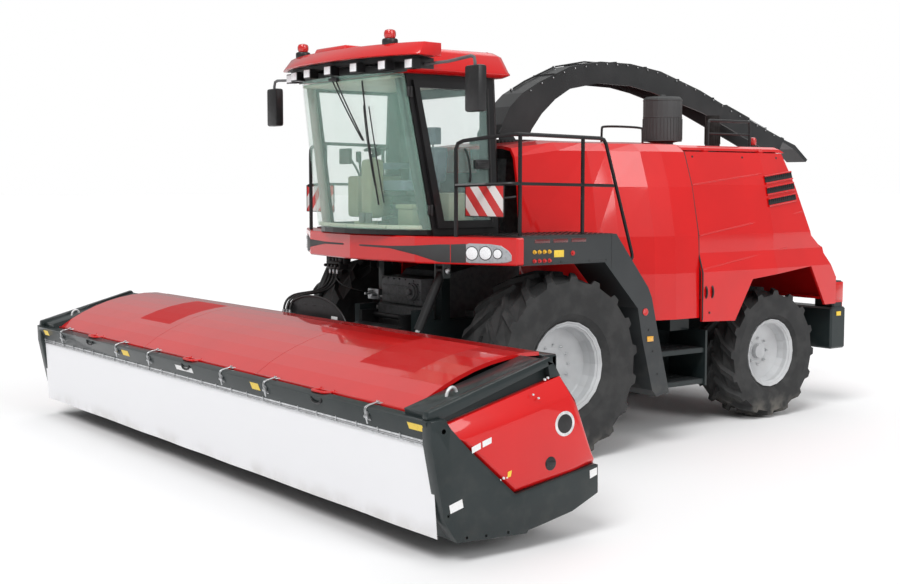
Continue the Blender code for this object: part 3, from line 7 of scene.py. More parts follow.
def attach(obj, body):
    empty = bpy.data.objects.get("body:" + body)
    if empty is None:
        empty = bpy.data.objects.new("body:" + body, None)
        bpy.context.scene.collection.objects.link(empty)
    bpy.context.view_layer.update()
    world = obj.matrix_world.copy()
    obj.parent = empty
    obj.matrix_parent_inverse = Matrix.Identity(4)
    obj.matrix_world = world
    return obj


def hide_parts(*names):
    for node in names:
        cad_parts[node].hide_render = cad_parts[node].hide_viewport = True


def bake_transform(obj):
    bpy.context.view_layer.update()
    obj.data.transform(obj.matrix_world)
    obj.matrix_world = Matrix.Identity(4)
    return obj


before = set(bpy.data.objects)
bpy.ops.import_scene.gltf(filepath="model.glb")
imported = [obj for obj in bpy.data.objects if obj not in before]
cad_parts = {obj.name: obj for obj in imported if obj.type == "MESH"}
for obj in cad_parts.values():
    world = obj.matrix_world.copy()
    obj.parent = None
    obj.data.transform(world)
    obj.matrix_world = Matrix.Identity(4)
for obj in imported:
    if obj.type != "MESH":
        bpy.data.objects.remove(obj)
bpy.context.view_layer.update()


# Camera, floor and light
# The machine stands on a white studio floor under broad soft lamps. The
# camera stands ahead of its left side, level with the driver's seat.
EYE_PLACE = (10.962, -9.426, 2.625)
EYE_TURN = math.radians(53.356)
EYE_TILT = math.radians(4.518)
EYE_LENS = 52.53
EYE_SHIFT = -0.0034
FLOOR_SIZE = 600.0
FLOOR_COLOUR = (0.9, 0.9, 0.905, 1)
BACKDROP_COLOUR = (1.0, 1.0, 1.0, 1)
ROOM_COLOUR = (1.0, 1.0, 1.0, 1)
ROOM_LOW, ROOM_HIGH = 0.3, 0.66
LAMPS = (
    # name, strength, angular size, height angle, bearing
    ("key_lamp", 1.65, 26, 50, 30),
    ("side_lamp", 0.85, 26, 26, 100),
    ("back_lamp", 0.4, 40, 50, 215),
)


def select_only(*pieces):
    bpy.ops.object.select_all(action="DESELECT")
    for piece in pieces:
        piece.select_set(True)
    bpy.context.view_layer.objects.active = pieces[0]


class Shade:
    """A socket in a material. Sums, products and powers add Math nodes."""

    def __init__(self, tree, socket=None):
        self.tree, self.socket = tree, socket

    def node(self, kind, settings=None, sockets=None, out=0):
        """Add a node: its settings first, then its sockets' values or links."""
        made = self.tree.nodes.new("ShaderNode" + kind)
        for name, value in (settings or {}).items():
            if name == "stops":
                ramp = made.color_ramp.elements
                while len(ramp) < len(value):
                    ramp.new(1.0)
                for stop, (place, colour) in zip(ramp, value):
                    stop.position, stop.color = place, colour
            else:
                setattr(made, name, value)
        for name, value in (sockets or {}).items():
            self.put(made.inputs[name], value)
        return Shade(self.tree, made.outputs[out])

    def put(self, socket, value):
        if isinstance(value, Shade):
            self.tree.links.new(value.socket, socket)
        else:
            socket.default_value = value

    def math(self, operation, *values):
        return self.node("Math", {"operation": operation}, dict(enumerate(values)))

    def __add__(self, other):
        return self.math("ADD", self, other)

    def __sub__(self, other):
        return self.math("SUBTRACT", self, other)

    def __rsub__(self, other):
        return self.math("SUBTRACT", other, self)

    def __mul__(self, other):
        return self.math("MULTIPLY", self, other)

    def __pow__(self, other):
        return self.math("POWER", self, other)

    def between(self, low, high):
        """0 below low, 1 above high, smooth in between."""
        return self.node("MapRange", {"interpolation_type": "SMOOTHSTEP"}, {0: self, 1: low, 2: high})

    def mix(self, colour, other):
        """This socket mixes one colour into the other."""
        return self.node("Mix", {"data_type": "RGBA"}, {0: self, 6: colour, 7: other}, out=2)

    def part(self, axis):
        """One coordinate of this place."""
        return self.node("SeparateXYZ", sockets={0: self}, out=axis)

    def noise(self, scale, detail):
        return self.node("TexNoise", sockets={"Vector": self, "Scale": scale, "Detail": detail})

    def waves(self, direction, scale, distortion=0.0):
        sockets = {"Vector": self, "Scale": scale, "Distortion": distortion}
        return self.node("TexWave", {"bands_direction": direction}, sockets, out=1)

    def bump(self, strength, distance):
        """This socket as the height of a bump."""
        return self.node("Bump", sockets={"Strength": strength, "Distance": distance, "Height": self})

    __radd__ = __add__
    __rmul__ = __mul__


camera_data = bpy.data.cameras.new("studio_camera")
camera_data.lens = EYE_LENS
camera_data.shift_y = EYE_SHIFT
camera = bpy.data.objects.new("studio_camera", camera_data)
bpy.context.scene.collection.objects.link(camera)
camera.location = EYE_PLACE
camera.rotation_euler = (math.pi / 2 - EYE_TILT, 0, EYE_TURN)
bpy.context.scene.camera = camera
bpy.context.scene.view_settings.view_transform = "Standard"

for name, strength, spread, height, bearing in LAMPS:
    lamp_data = bpy.data.lights.new(name, "SUN")
    lamp_data.energy = strength
    lamp_data.angle = math.radians(spread)
    lamp = bpy.data.objects.new(name, lamp_data)
    bpy.context.scene.collection.objects.link(lamp)
    lamp.rotation_euler = (math.radians(90 - height), 0, math.radians(bearing))

room = bpy.data.worlds.new("studio_room")
bpy.context.scene.world = room
room.use_nodes = True
room.node_tree.nodes.clear()
air = Shade(room.node_tree)
up = air.node("SeparateXYZ", sockets={0: air.node("TexCoord", out="Generated")}, out=2)
level = up.between(-0.1, 0.9) * (ROOM_HIGH - ROOM_LOW) + ROOM_LOW
seen = air.node("LightPath", out="Is Camera Ray")
soft_light = air.node("Background", sockets={"Color": ROOM_COLOUR, "Strength": level})
backdrop = air.node("Background", sockets={"Color": BACKDROP_COLOUR, "Strength": 1.0})
sky = air.node("MixShader", sockets={0: seen, 1: soft_light, 2: backdrop})
world_out = room.node_tree.nodes.new("ShaderNodeOutputWorld")
air.put(world_out.inputs["Surface"], sky)


def new_material(name):
    """A material, its shader and the place on the surface, in metres."""
    made = bpy.data.materials.new(name)
    made.use_nodes = True
    shader = made.node_tree.nodes["Principled BSDF"]
    place = Shade(made.node_tree).node("TexCoord", out="Object")
    return made, shader, place


def shaded(colour, share):
    """A darker tone of a colour."""
    return (*[part * share for part in colour[:3]], 1)


def fill(place, shader, sockets):
    for name, value in sockets.items():
        place.put(shader.inputs[name], value)


select_only(camera)
bpy.ops.mesh.primitive_plane_add(size=FLOOR_SIZE)
floor = bpy.context.object
floor.name = "studio_floor"
floor_paint, shader, place = new_material("floor_paint")
fill(place, shader, {"Base Color": FLOOR_COLOUR, "Roughness": 0.9, "Specular IOR Level": 0.1})
floor.data.materials.append(floor_paint)


# Enamel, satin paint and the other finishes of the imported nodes
# Sheet metal is sprayed in gloss red enamel, frames in satin slate paint.
RED = (0.64, 0.0045, 0.005, 1)
RED_TINT = (0.6, 0.004, 0.0045, 1)
RED_DEEP = (0.47, 0.004, 0.005, 1)
SLATE = (0.0145, 0.0215, 0.0225, 1)
SLATE_PALE = (0.0185, 0.0265, 0.0275, 1)
BLACK = (0.0085, 0.0085, 0.0092, 1)
BLACK_PALE = (0.014, 0.014, 0.015, 1)
DUST = (0.36, 0.33, 0.28, 1)


def sprayed(name, colour, tint, roughness, coat, dust=0.0, peel=0.05, peel_scale=260.0):
    """Sprayed paint: slow shifts of tone, fine orange peel, and dust that
    settles low down."""
    made, shader, place = new_material(name)
    tone = place.noise(1.7, 3.0)
    fine = place.noise(peel_scale, 2.0)
    smear = place.noise(9.0, 5.0)
    height = place.part(2)
    low = 1.0 - height.between(0.1, 1.5)
    dirt = low * smear.between(0.42, 0.72) * dust
    painted = tone.between(0.35, 0.65).mix(colour, tint)
    bump = fine.bump(peel, 0.002)
    fill(place, shader, {
        "Base Color": dirt.mix(painted, DUST),
        "Roughness": smear * 0.04 + dirt * 0.4 + (roughness - 0.02),
        "Coat Weight": (1.0 - dirt) * coat,
        "Coat Roughness": 0.04,
        "Specular IOR Level": 0.22,
        "Normal": bump,
    })
    return made


def coat_nodes(material, *names):
    for name in names:
        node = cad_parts[name]
        node.data.materials.clear()
        node.data.materials.append(material)
        for polygon in node.data.polygons:
            polygon.material_index = 0


red_enamel = sprayed("red_enamel", RED, RED_TINT, 0.3, 0.75, peel=0.02)
slate_paint = sprayed("slate_paint", SLATE, SLATE_PALE, 0.42, 0.3, dust=0.03)
black_paint = sprayed("black_paint", BLACK, BLACK_PALE, 0.42, 0.2, dust=0.05)

coat_nodes(red_enamel, "body_front", "cab_roof", "engine_hood", "engine_panel_left", "engine_panel_right",
    "front_fascia", "header_cover_left", "header_cover_right")
coat_nodes(slate_paint, "header_frame", "main_frame", "rear_bumper", "side_boxes")
coat_nodes(black_paint, "cab_body", "cutter_bar", "door_frame", "feeder_housing", "handrail_left", "handrail_right",
    "knuckle_left", "knuckle_right", "ram_barrel_left", "ram_barrel_right", "rear_axle", "roof_lamps", "tie_rod",
    "seat")


# Header curtain and its clamp
# A coated white curtain, 7.6 m wide, hangs from the header's front beam. A
# plated strip with rivets clamps it.
AXLE = Vector((0, -1.19, 0))  # this file measures from the front axle
SMOOTH_ANGLE = math.radians(40)
RIVET_GAP = 0.285
BEAM_FACE_Y = -3.056
STRIP_Z = (0.862, 0.892)
CURTAIN_TOP, CURTAIN_LOW = 0.856, 0.19
CURTAIN_HALF = 3.78
STEEL = (0.62, 0.63, 0.64, 1)
WHITE_CLOTH = (0.84, 0.84, 0.86, 1)
STICKER_WHITE = (0.8, 0.8, 0.8, 1)
STICKER_YELLOW = (0.86, 0.6, 0.06, 1)
SIDES = (("left", 1), ("right", -1))


def at_x(x, places):
    """Places of one X from their Y and Z."""
    return [(x, *place) for place in places]


def around(middle, radius, count):
    """Places round a circle."""
    turns = [math.tau * step / count for step in range(count)]
    return [(middle[0] + radius * math.cos(turn), middle[1] + radius * math.sin(turn)) for turn in turns]


def settle(piece, material, body="chassis"):
    """Put a piece's place into its mesh, give its finish and let it ride."""
    select_only(piece)
    if piece.type != "MESH":
        bpy.ops.object.convert(target="MESH")
        piece = bpy.context.object
    bpy.ops.object.transform_apply(location=True, rotation=True, scale=True)
    piece.data.transform(Matrix.Translation(AXLE))
    piece.data.materials.clear()
    piece.data.materials.append(material)
    if body:
        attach(piece, body)
    return piece


def soften(piece, width, segments=2):
    """Round the edges of a piece."""
    select_only(piece)
    bevel = piece.modifiers.new("soft_edge", "BEVEL")
    bevel.width, bevel.segments, bevel.limit_method = width, segments, "ANGLE"
    bevel.angle_limit = SMOOTH_ANGLE
    bpy.ops.object.modifier_apply(modifier=bevel.name)
    bpy.ops.object.shade_smooth_by_angle(angle=SMOOTH_ANGLE)
    return piece


def bar(name, low, high, width=0.004):
    """A bar with rounded edges between two corners."""
    low, high = Vector(low), Vector(high)
    bpy.ops.object.select_all(action="DESELECT")
    bpy.ops.mesh.primitive_cube_add(size=1, location=(low + high) / 2)
    piece = bpy.context.object
    piece.name = name
    piece.scale = [max(abs(size), 0.001) for size in high - low]
    bpy.ops.object.transform_apply(location=True, rotation=True, scale=True)
    return soften(piece, width) if width else piece


def stub(name, start, end, radius, width=0.002, sides=24, sink=0.0):
    """A short round piece between two places, its far face sunk if wanted."""
    start, end = Vector(start), Vector(end)
    bpy.ops.object.select_all(action="DESELECT")
    bpy.ops.mesh.primitive_cylinder_add(vertices=sides, radius=radius, depth=(end - start).length,
        location=(start + end) / 2)
    piece = bpy.context.object
    piece.name = name
    piece.rotation_euler = (end - start).to_track_quat("Z", "Y").to_euler()
    if sink:
        bpy.ops.object.mode_set(mode="EDIT")
        bpy.ops.mesh.select_all(action="DESELECT")
        bpy.ops.object.mode_set(mode="OBJECT")
        for face in piece.data.polygons:
            face.select = face.normal.z > 0.9
        bpy.ops.object.mode_set(mode="EDIT")
        bpy.ops.mesh.inset(thickness=radius * 0.25)
        bpy.ops.mesh.extrude_region_move(TRANSFORM_OT_translate={"value": -(end - start).normalized() * sink})
        bpy.ops.object.mode_set(mode="OBJECT")
    bpy.ops.object.transform_apply(location=True, rotation=True, scale=True)
    return soften(piece, width)


def peg(name, axis, span, place, *sizes):
    """A stub along one axis: its span there, and its place on the others."""
    first = "XYZ".index(axis)
    return stub(name, *[(*place[:first], end, *place[first:]) for end in span], *sizes)


def pipe(name, points, radius, rounded=True, closed=False, sides=4):
    """A bent tube or hose along its points."""
    bpy.ops.object.select_all(action="DESELECT")
    line = bpy.data.curves.new(name, "CURVE")
    line.dimensions = "3D"
    spline = line.splines.new("NURBS" if rounded else "POLY")
    spline.points.add(len(points) - 1)
    for place, point in zip(points, spline.points):
        point.co = (*place, 1)
    spline.order_u = 3
    spline.use_endpoint_u = True
    spline.use_cyclic_u = closed
    line.resolution_u = 5
    line.bevel_depth = radius
    line.bevel_resolution = sides
    line.use_fill_caps = True
    piece = bpy.data.objects.new(name, line)
    bpy.context.scene.collection.objects.link(piece)
    select_only(piece)
    bpy.ops.object.convert(target="MESH")
    piece = bpy.context.object
    bpy.ops.object.shade_smooth_by_angle(angle=SMOOTH_ANGLE)
    return piece


def panel(name, outline, push, width=0.003):
    """A plate: its outline is filled, then extruded by push."""
    bpy.ops.object.select_all(action="DESELECT")
    bpy.ops.mesh.primitive_circle_add(vertices=len(outline), radius=1, fill_type="NGON")
    piece = bpy.context.object
    piece.name = name
    for corner, place in zip(piece.data.vertices, outline):
        corner.co = place
    bpy.ops.object.mode_set(mode="EDIT")
    bpy.ops.mesh.select_all(action="SELECT")
    bpy.ops.mesh.extrude_region_move(TRANSFORM_OT_translate={"value": push})
    bpy.ops.mesh.select_all(action="SELECT")
    bpy.ops.mesh.normals_make_consistent(inside=False)
    bpy.ops.object.mode_set(mode="OBJECT")
    return soften(piece, width) if width else piece


def joined(name, pieces):
    """One piece made of several."""
    select_only(*pieces)
    bpy.ops.object.join()
    piece = bpy.context.object
    piece.name = name
    return piece


def group(name, pieces, material, body="chassis"):
    """One settled piece made of several."""
    return settle(joined(name, pieces), material, body)


def metal(name, colour, roughness, metallic=1.0, bump=0.1, scale=300.0):
    """Bare or plated metal: fine marks, and darker in its blotches."""
    made, shader, place = new_material(name)
    blotch = place.noise(25.0, 4.0)
    fine = place.noise(scale, 3.0)
    dark = shaded(colour, 0.72)
    relief = fine.bump(bump, 0.001)
    fill(place, shader, {
        "Base Color": blotch.between(0.35, 0.7).mix(colour, dark),
        "Roughness": blotch * 0.2 + (roughness - 0.1),
        "Metallic": metallic,
        "Normal": relief,
    })
    return made


def printed(name, colour):
    """Plastic film: almost plain, a little scuffed."""
    made, shader, place = new_material(name)
    scuff = place.noise(60.0, 4.0)
    worn = shaded(colour, 0.86)
    fill(place, shader, {
        "Base Color": scuff.between(0.5, 0.75).mix(colour, worn),
        "Roughness": scuff * 0.2 + 0.35,
    })
    return made


zinc = metal("zinc_plate", STEEL, 0.32)
white_film = printed("white_film", STICKER_WHITE)
yellow_film = printed("yellow_film", STICKER_YELLOW)

# the coated curtain
bpy.ops.object.select_all(action="DESELECT")
bpy.ops.mesh.primitive_grid_add(x_subdivisions=240, y_subdivisions=24, size=1)
curtain = bpy.context.object
curtain.name = "front_curtain"
for corner in curtain.data.vertices:
    across, down = corner.co.x * 2, 0.5 - corner.co.y
    x = across * CURTAIN_HALF
    swell = math.sin(x * 2 * math.pi / (RIVET_GAP * 4) + math.sin(x * 1.7)) * 0.004 * down
    lean = BEAM_FACE_Y + 0.003 + 0.046 * down
    corner.co = (x, lean + swell, CURTAIN_TOP + (CURTAIN_LOW - CURTAIN_TOP) * down)
select_only(curtain)
wall = curtain.modifiers.new("thickness", "SOLIDIFY")
wall.thickness, wall.offset = 0.002, 0
bpy.ops.object.modifier_apply(modifier=wall.name)
bpy.ops.object.shade_smooth_by_angle(angle=SMOOTH_ANGLE)
coated_cloth, shader, place = new_material("coated_cloth")
threads = place.waves("X", 140.0, 0.4)
rows = place.waves("Z", 140.0, 0.4)
marks = place.noise(3.0, 5.0)
height = place.part(2)
soiled = (1.0 - height.between(0.18, 0.34)) * marks.between(0.35, 0.7) * 0.35
fill(place, shader, {
    "Base Color": soiled.mix(WHITE_CLOTH, DUST),
    "Roughness": marks * 0.15 + 0.42,
    "Normal": (threads * rows).bump(0.15, 0.0005),
})
settle(curtain, coated_cloth, "header")
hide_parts("curtain")

# the strip that clamps the curtain, with a rivet every 285 mm
clamp = [bar("clamp_strip", (-3.76, BEAM_FACE_Y - 0.006, STRIP_Z[0]), (3.76, BEAM_FACE_Y, STRIP_Z[1]), 0.002)]
clamp.append(bar("clamp_lip", (-3.76, BEAM_FACE_Y - 0.009, 0.836), (3.76, BEAM_FACE_Y - 0.002, 0.85), 0.002))
for step in range(27):
    x = (step - 13) * RIVET_GAP
    clamp.append(peg("rivet", "Y", (BEAM_FACE_Y, BEAM_FACE_Y - 0.016), (x, 0.877), 0.011, 0.004, 12))
    clamp.append(bar("strap", (x - 0.005, BEAM_FACE_Y - 0.012, 0.845), (x + 0.005, BEAM_FACE_Y - 0.004, 0.89), 0.002))
clamp = group("curtain_clamp", clamp, zinc, "header")


# Latches, handles and films of the header
# Two over-centre latches of plated steel hold each hood down on the beam, and
# a black pull hangs under each red one. Blank films sit where labels would.
HOOD_MIDDLES = (-2.3, 0.0, 2.3)
LATCH_OFFSET = 0.76
FACE_SLOPE = 0.40625


def face_y(z, proud=0.0):
    """The leaning front face of the beam, at this height."""
    return -3.055 - (z - 0.86) * FACE_SLOPE - proud


def on_beam(middle, width, low, high, proud):
    """The corners of an upright patch on the beam's leaning face."""
    left, right = middle - width / 2, middle + width / 2
    return [(left, face_y(low, proud), low), (right, face_y(low, proud), low), (right, face_y(high, proud), high),
        (left, face_y(high, proud), high)]


def latch(x):
    """One latch: base, cheeks, boss, lever, hook and catch."""
    hook = [(face_y(0.96, 0.02), 0.962), (face_y(1.0, 0.016), 1.005), (-3.115, 1.036), (-3.02, 1.052)]
    pieces = [
        panel("latch_base", on_beam(x, 0.032, 0.925, 0.995, 0.0), (0, -0.004, 0), 0.001),
        bar("latch_cheek", (x - 0.014, face_y(0.94, 0.026), 0.935), (x - 0.01, face_y(0.94, -0.004), 0.992), 0.001),
        bar("latch_cheek", (x + 0.01, face_y(0.94, 0.026), 0.935), (x + 0.014, face_y(0.94, -0.004), 0.992), 0.001),
        peg("latch_boss", "X", (x - 0.022, x + 0.026), (face_y(0.955, 0.018), 0.958), 0.014, 0.003, 16),
        pipe("latch_lever", [(x, face_y(0.958, 0.02), 0.958), (x, face_y(0.93, 0.027), 0.935),
            (x, face_y(0.9, 0.03), 0.905)], 0.007),
        pipe("latch_link", [*at_x(x - 0.009, hook), (x, -3.0, 1.06), *at_x(x + 0.009, hook[::-1])], 0.0035),
        bar("latch_catch", (x - 0.02, -3.02, 1.04), (x + 0.02, -2.975, 1.05), 0.003),
    ]
    for side in (-0.013, 0.013):
        pieces.append(peg("latch_bolt", "Z", (1.054, 1.066), (x + side, -3.012), 0.006, 0.002, 6))
    return pieces


latches = [piece for middle in HOOD_MIDDLES for end in (-LATCH_OFFSET, LATCH_OFFSET) for piece in latch(middle + end)]
group("hood_latches", latches, zinc, "header")

satin_black = metal("satin_black", (0.012, 0.012, 0.013, 1), 0.4, 0.0, 0.05)
pulls = []
for middle in HOOD_MIDDLES:
    pulls.append(pipe("lower_pull",
        [(middle - 0.02, face_y(1.0), 1.005), (middle - 0.02, face_y(0.962, 0.017), 0.962),
        (middle + 0.13, face_y(0.962, 0.017), 0.962), (middle + 0.13, face_y(1.0), 1.005)], 0.009))
group("lower_pulls", pulls, satin_black, "header")

hood_lip = []
for middle in HOOD_MIDDLES:
    lip = [bar("hood_lip", (middle - 1.145, -2.996, 1.018), (middle + 1.145, -2.976, 1.044))]
    for side in (-0.1, 0.1):
        lip.append(peg("pull_bolt", "Z", (1.044, 1.056), (middle + side, -2.972), 0.008, 0.002, 6))
    hood_lip.append(lip)


def film(name, x, z, width, height, material):
    """A blank film on the beam's face."""
    corners = on_beam(x, width, z - height / 2, z + height / 2, -0.001)
    settle(panel(name, corners, (0, -0.0026, 0), 0), material, "header")


film("film_end_far", -3.57, 0.965, 0.13, 0.055, yellow_film)
film("film_hood_one", -1.34, 0.965, 0.16, 0.055, yellow_film)
film("film_middle", -0.01, 0.957, 0.35, 0.045, white_film)
film("film_hood_three", 1.35, 0.965, 0.14, 0.06, yellow_film)
film("film_end_near", 3.66, 0.968, 0.18, 0.05, yellow_film)

# Header hoods: enamel with two matt patches
hood_enamel = red_enamel.copy()
hood_enamel.name = "hood_enamel"
PATCHES = ((2.22, 2.98, -3.82, -3.16), (-2.05, -1.32, -3.82, -3.16))
shader = hood_enamel.node_tree.nodes["Principled BSDF"]
place = Shade(hood_enamel.node_tree).node("TexCoord", out="Object")
x = place.part(0)
y = place.part(1)
patch = 0


def within(socket, low, high):
    """1 where the socket lies between low and high, 0 elsewhere."""
    offset = socket.math("ABSOLUTE", socket - (low + high) / 2)
    return socket.math("LESS_THAN", offset, (high - low) / 2)


for low_x, high_x, low_y, high_y in PATCHES:
    patch = within(x, low_x, high_x) * within(y, low_y, high_y) + patch
painted = Shade(hood_enamel.node_tree, shader.inputs["Base Color"].links[0].from_socket)
rough = Shade(hood_enamel.node_tree, shader.inputs["Roughness"].links[0].from_socket)
fill(place, shader, {"Base Color": patch.mix(painted, RED_DEEP), "Roughness": patch * 0.25 + rough,
    "Coat Weight": 1.0 - patch * 0.9})
coat_nodes(hood_enamel, "hood_1", "hood_2", "hood_3")
for number, lip in enumerate(hood_lip):
    group(f"hood_lip_{number + 1}", lip, hood_enamel, f"hood_{number + 1}")

# Lifting eyes, bolts and films on the header's ends
COVER_X = 3.852
eyes = []
for side in (-1, 1):
    eyes.append(pipe("lifting_eye",
        [(side * 3.6, -2.79, 1.06), (side * 3.6, -2.8, 1.16), (side * 3.6, -2.745, 1.215), (side * 3.6, -2.69, 1.17),
        (side * 3.6, -2.7, 1.06)], 0.012))
    eyes.append(bar("eye_plate", (side * 3.6 - 0.03, -2.83, 1.115), (side * 3.6 + 0.03, -2.66, 1.128)))
white_metal = metal("white_metal", (0.78, 0.78, 0.79, 1), 0.35, 0.3, 0.05)
group("lifting_eyes", eyes, white_metal, "header")

bolts = []
BOLTS = ((-2.999, 0.952, 0.02, 3.852), (-2.96, 0.36, 0.012, 3.852), (-2.8, 0.185, 0.012, 3.852),
    (-2.63, 0.172, 0.012, 3.852), (-2.43, 0.165, 0.012, 3.852), (-2.05, 1.22, 0.009, 3.8), (-2.02, 1.23, 0.009, 3.8),
    (-2.2, 1.13, 0.008, COVER_X), (-2.15, 1.1, 0.008, COVER_X), (-2.47, 0.56, 0.01, COVER_X),
    (-2.44, 0.56, 0.007, COVER_X), (-2.5, 0.55, 0.007, COVER_X))
for side in (-1, 1):
    for y, z, radius, x in BOLTS:
        bolts.append(peg("end_bolt", "X", (side * (x - 0.012), side * (x + 0.004 if x < 3.85 else x)), (y, z), radius,
            0.002, 12))
group("end_bolts", bolts, white_metal, "header")


def side_film(name, corners, material, x=3.853):
    """Blank film on an end of the header, both ends alike."""
    pieces = [panel(name, at_x(side * x, corners), (side * 0.0022, 0, 0), 0) for side in (-1, 1)]
    group(name, pieces, material, "header")


side_film("film_end_low", ((-2.955, 0.434), (-2.845, 0.464), (-2.833, 0.404), (-2.944, 0.376)), white_film)
side_film("film_end_rear", ((-1.653, 0.509), (-1.58, 0.524), (-1.58, 0.469), (-1.65, 0.448)), white_film)
side_film("film_top_front", ((-2.93, 1.075), (-2.87, 1.09), (-2.87, 1.035), (-2.925, 1.02)), yellow_film, 3.741)
side_film("film_cover_one", ((-2.76, 0.815), (-2.68, 0.84), (-2.68, 0.797), (-2.755, 0.772)), white_film, 3.8505)
side_film("film_cover_two", ((-2.665, 0.845), (-2.585, 0.868), (-2.585, 0.826), (-2.662, 0.803)), white_film, 3.8505)
side_film("film_cover_orange", ((-2.435, 0.6), (-2.4, 0.608), (-2.41, 0.565), (-2.44, 0.56)), yellow_film, 3.8505)

# a plain round badge with a rim, and the cover's turn knob
for side in (-1, 1):
    badge = peg("plain_badge", "X", (side * 3.843, side * 3.853), (-1.9, 0.888), 0.093, 0.003, 48, 0.003)
    settle(badge, white_metal, "header")
    field = peg("badge_field", "X", (side * 3.848, side * 3.8545), (-1.9, 0.888), 0.07, 0.001, 40)
    settle(field, satin_black, "header")
    knob = joined("cover_knob", [peg("knob_foot", "X", (side * 3.84, side * 3.853), (-2.035, 0.61), 0.052, 0.004, 28),
        bar("knob_grip", (side * 3.852 - 0.008, -2.078, 0.592), (side * 3.852 + 0.008, -1.992, 0.628), 0.006)])
    settle(knob, satin_black, "header")


# Welded header body: end boxes, leaning front beam, rear wall and trough
# The end boxes are folded from plate, with a channel along the top and a
# flat plate over their front. Sheet arcs make the trough round the auger.
END_BOX = ((-3.0, 0.85), (-2.88, 0.16), (-2.27, 0.13), (-1.83, 0.22), (-1.57, 0.34), (-1.58, 0.56), (-1.72, 0.93),
    (-1.93, 1.26), (-2.0, 1.36), (-3.06, 1.07))
TOP_CHANNEL = ((-3.1, 1.035), (-3.09, 1.085), (-2.0, 1.38), (-1.965, 1.33), (-3.0, 1.02))
END_POST = ((-2.03, 1.36), (-1.965, 1.335), (-1.9, 1.235), (-2.0, 1.225))
END_PLATE = ((-3.105, 1.03), (-3.1, 0.865), (-2.991, 0.322), (-2.88, 0.157), (-2.26, 0.127), (-2.24, 0.15),
    (-2.143, 0.165), (-1.819, 0.226), (-1.565, 0.33), (-1.567, 0.544), (-1.6, 0.553), (-2.359, 0.427), (-2.767, 0.79),
    (-2.937, 0.965), (-2.985, 1.035))
BEAM_SECTION = ((-3.055, 0.86), (-3.12, 1.02), (-3.02, 1.035), (-2.95, 0.86))
TROUGH_MIDDLE, TROUGH_RADIUS, TROUGH_WALL = (-2.12, 0.6), 0.36, 0.012
TROUGH_TURNS = (-10, -32, -54, -76, -98, -120)


def trough_sheet(low, high, turns):
    """A length of the trough: an arc of sheet with its flat lip in front."""
    inner, outer = [], []
    for turn in turns:
        angle = math.radians(turn)
        for line, radius in ((inner, TROUGH_RADIUS), (outer, TROUGH_RADIUS + TROUGH_WALL)):
            line.append((low, TROUGH_MIDDLE[0] + radius * math.cos(angle),
                TROUGH_MIDDLE[1] + radius * math.sin(angle)))
    outline = inner + [(low, -2.6, 0.165), (low, -2.6, 0.153)] + outer[::-1]
    return panel("trough", outline, (high - low, 0, 0), 0)


frame_parts = [
    panel("front_beam", at_x(-3.8, BEAM_SECTION), (7.6, 0, 0), 0.006),
    bar("beam_ledge", (-3.48, -3.03, 0.94), (3.48, -2.955, 1.006)),
    bar("rear_beam", (-3.48, -1.8, 1.2), (3.48, -1.66, 1.345), 0.008),
    bar("low_beam", (-3.48, -1.82, 0.22), (3.48, -1.68, 0.36), 0.008),
    bar("wall_top", (-3.48, -1.7, 1.0), (3.48, -1.66, 1.33), 0.002),
    bar("wall_foot", (-3.48, -1.7, 0.34), (3.48, -1.66, 0.42), 0.002),
    trough_sheet(-3.48, -0.4, TROUGH_TURNS), trough_sheet(0.4, 3.48, TROUGH_TURNS),
    trough_sheet(-0.4, 0.4, TROUGH_TURNS[1:]),
]
for side in (-1, 1):
    frame_parts.append(bar("wall_side", (side * 0.4, -1.7, 0.4), (side * 3.48, -1.66, 1.02), 0.002))
    for name, start, depth, outline in (("end_box", 3.46, 0.285, END_BOX), ("top_channel", 3.735, 0.065, TOP_CHANNEL),
            ("end_post", 3.735, 0.065, END_POST), ("end_plate", 3.74, 0.112, END_PLATE)):
        frame_parts.append(panel(name, at_x(side * start, outline), (side * depth, 0, 0), 0.005))
header_body = group("header_body", frame_parts, slate_paint, "header")
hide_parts("header_frame")


# Red end covers: pressed sheet with a crease and a rolled lower edge
# Each cover is one pressing, hung over the end box behind the front plate.
COVER_EDGE = ((-2.95, 0.985), (-1.91, 1.235), (-1.757, 1.04), (-1.614, 0.673), (-1.567, 0.545), (-1.812, 0.487),
    (-2.359, 0.427), (-2.93, 0.94))
COVER_RINGS = (
    (3.742, COVER_EDGE),
    (3.8, COVER_EDGE),
    (3.838, ((-2.86, 0.885), (-1.845, 1.105), (-1.775, 1.005), (-1.64, 0.675), (-1.598, 0.585), (-1.815, 0.53),
        (-2.355, 0.462), (-2.82, 0.86))),
    (3.85, ((-2.8, 0.862), (-1.865, 1.075), (-1.8, 0.985), (-1.665, 0.68), (-1.632, 0.612), (-1.82, 0.56),
        (-2.352, 0.492), (-2.76, 0.84))),
)


def shell(name, points, faces, width):
    """A closed piece from points and faces."""
    made = bpy.data.meshes.new(name)
    made.from_pydata(points, [], faces)
    piece = bpy.data.objects.new(name, made)
    bpy.context.scene.collection.objects.link(piece)
    select_only(piece)
    bpy.ops.object.mode_set(mode="EDIT")
    bpy.ops.mesh.select_all(action="SELECT")
    bpy.ops.mesh.normals_make_consistent(inside=False)
    bpy.ops.object.mode_set(mode="OBJECT")
    return soften(piece, width) if width else piece


def layered(name, rings, width=0.004):
    """A closed shell through rings of the same count, both ends capped."""
    count = len(rings[0])
    faces = [tuple(range(count))[::-1], tuple(range((len(rings) - 1) * count, len(rings) * count))]
    for row in range(len(rings) - 1):
        for k in range(count):
            far = (k + 1) % count
            faces.append((row * count + k, row * count + far, (row + 1) * count + far, (row + 1) * count + k))
    return shell(name, [place for ring in rings for place in ring], faces, width)


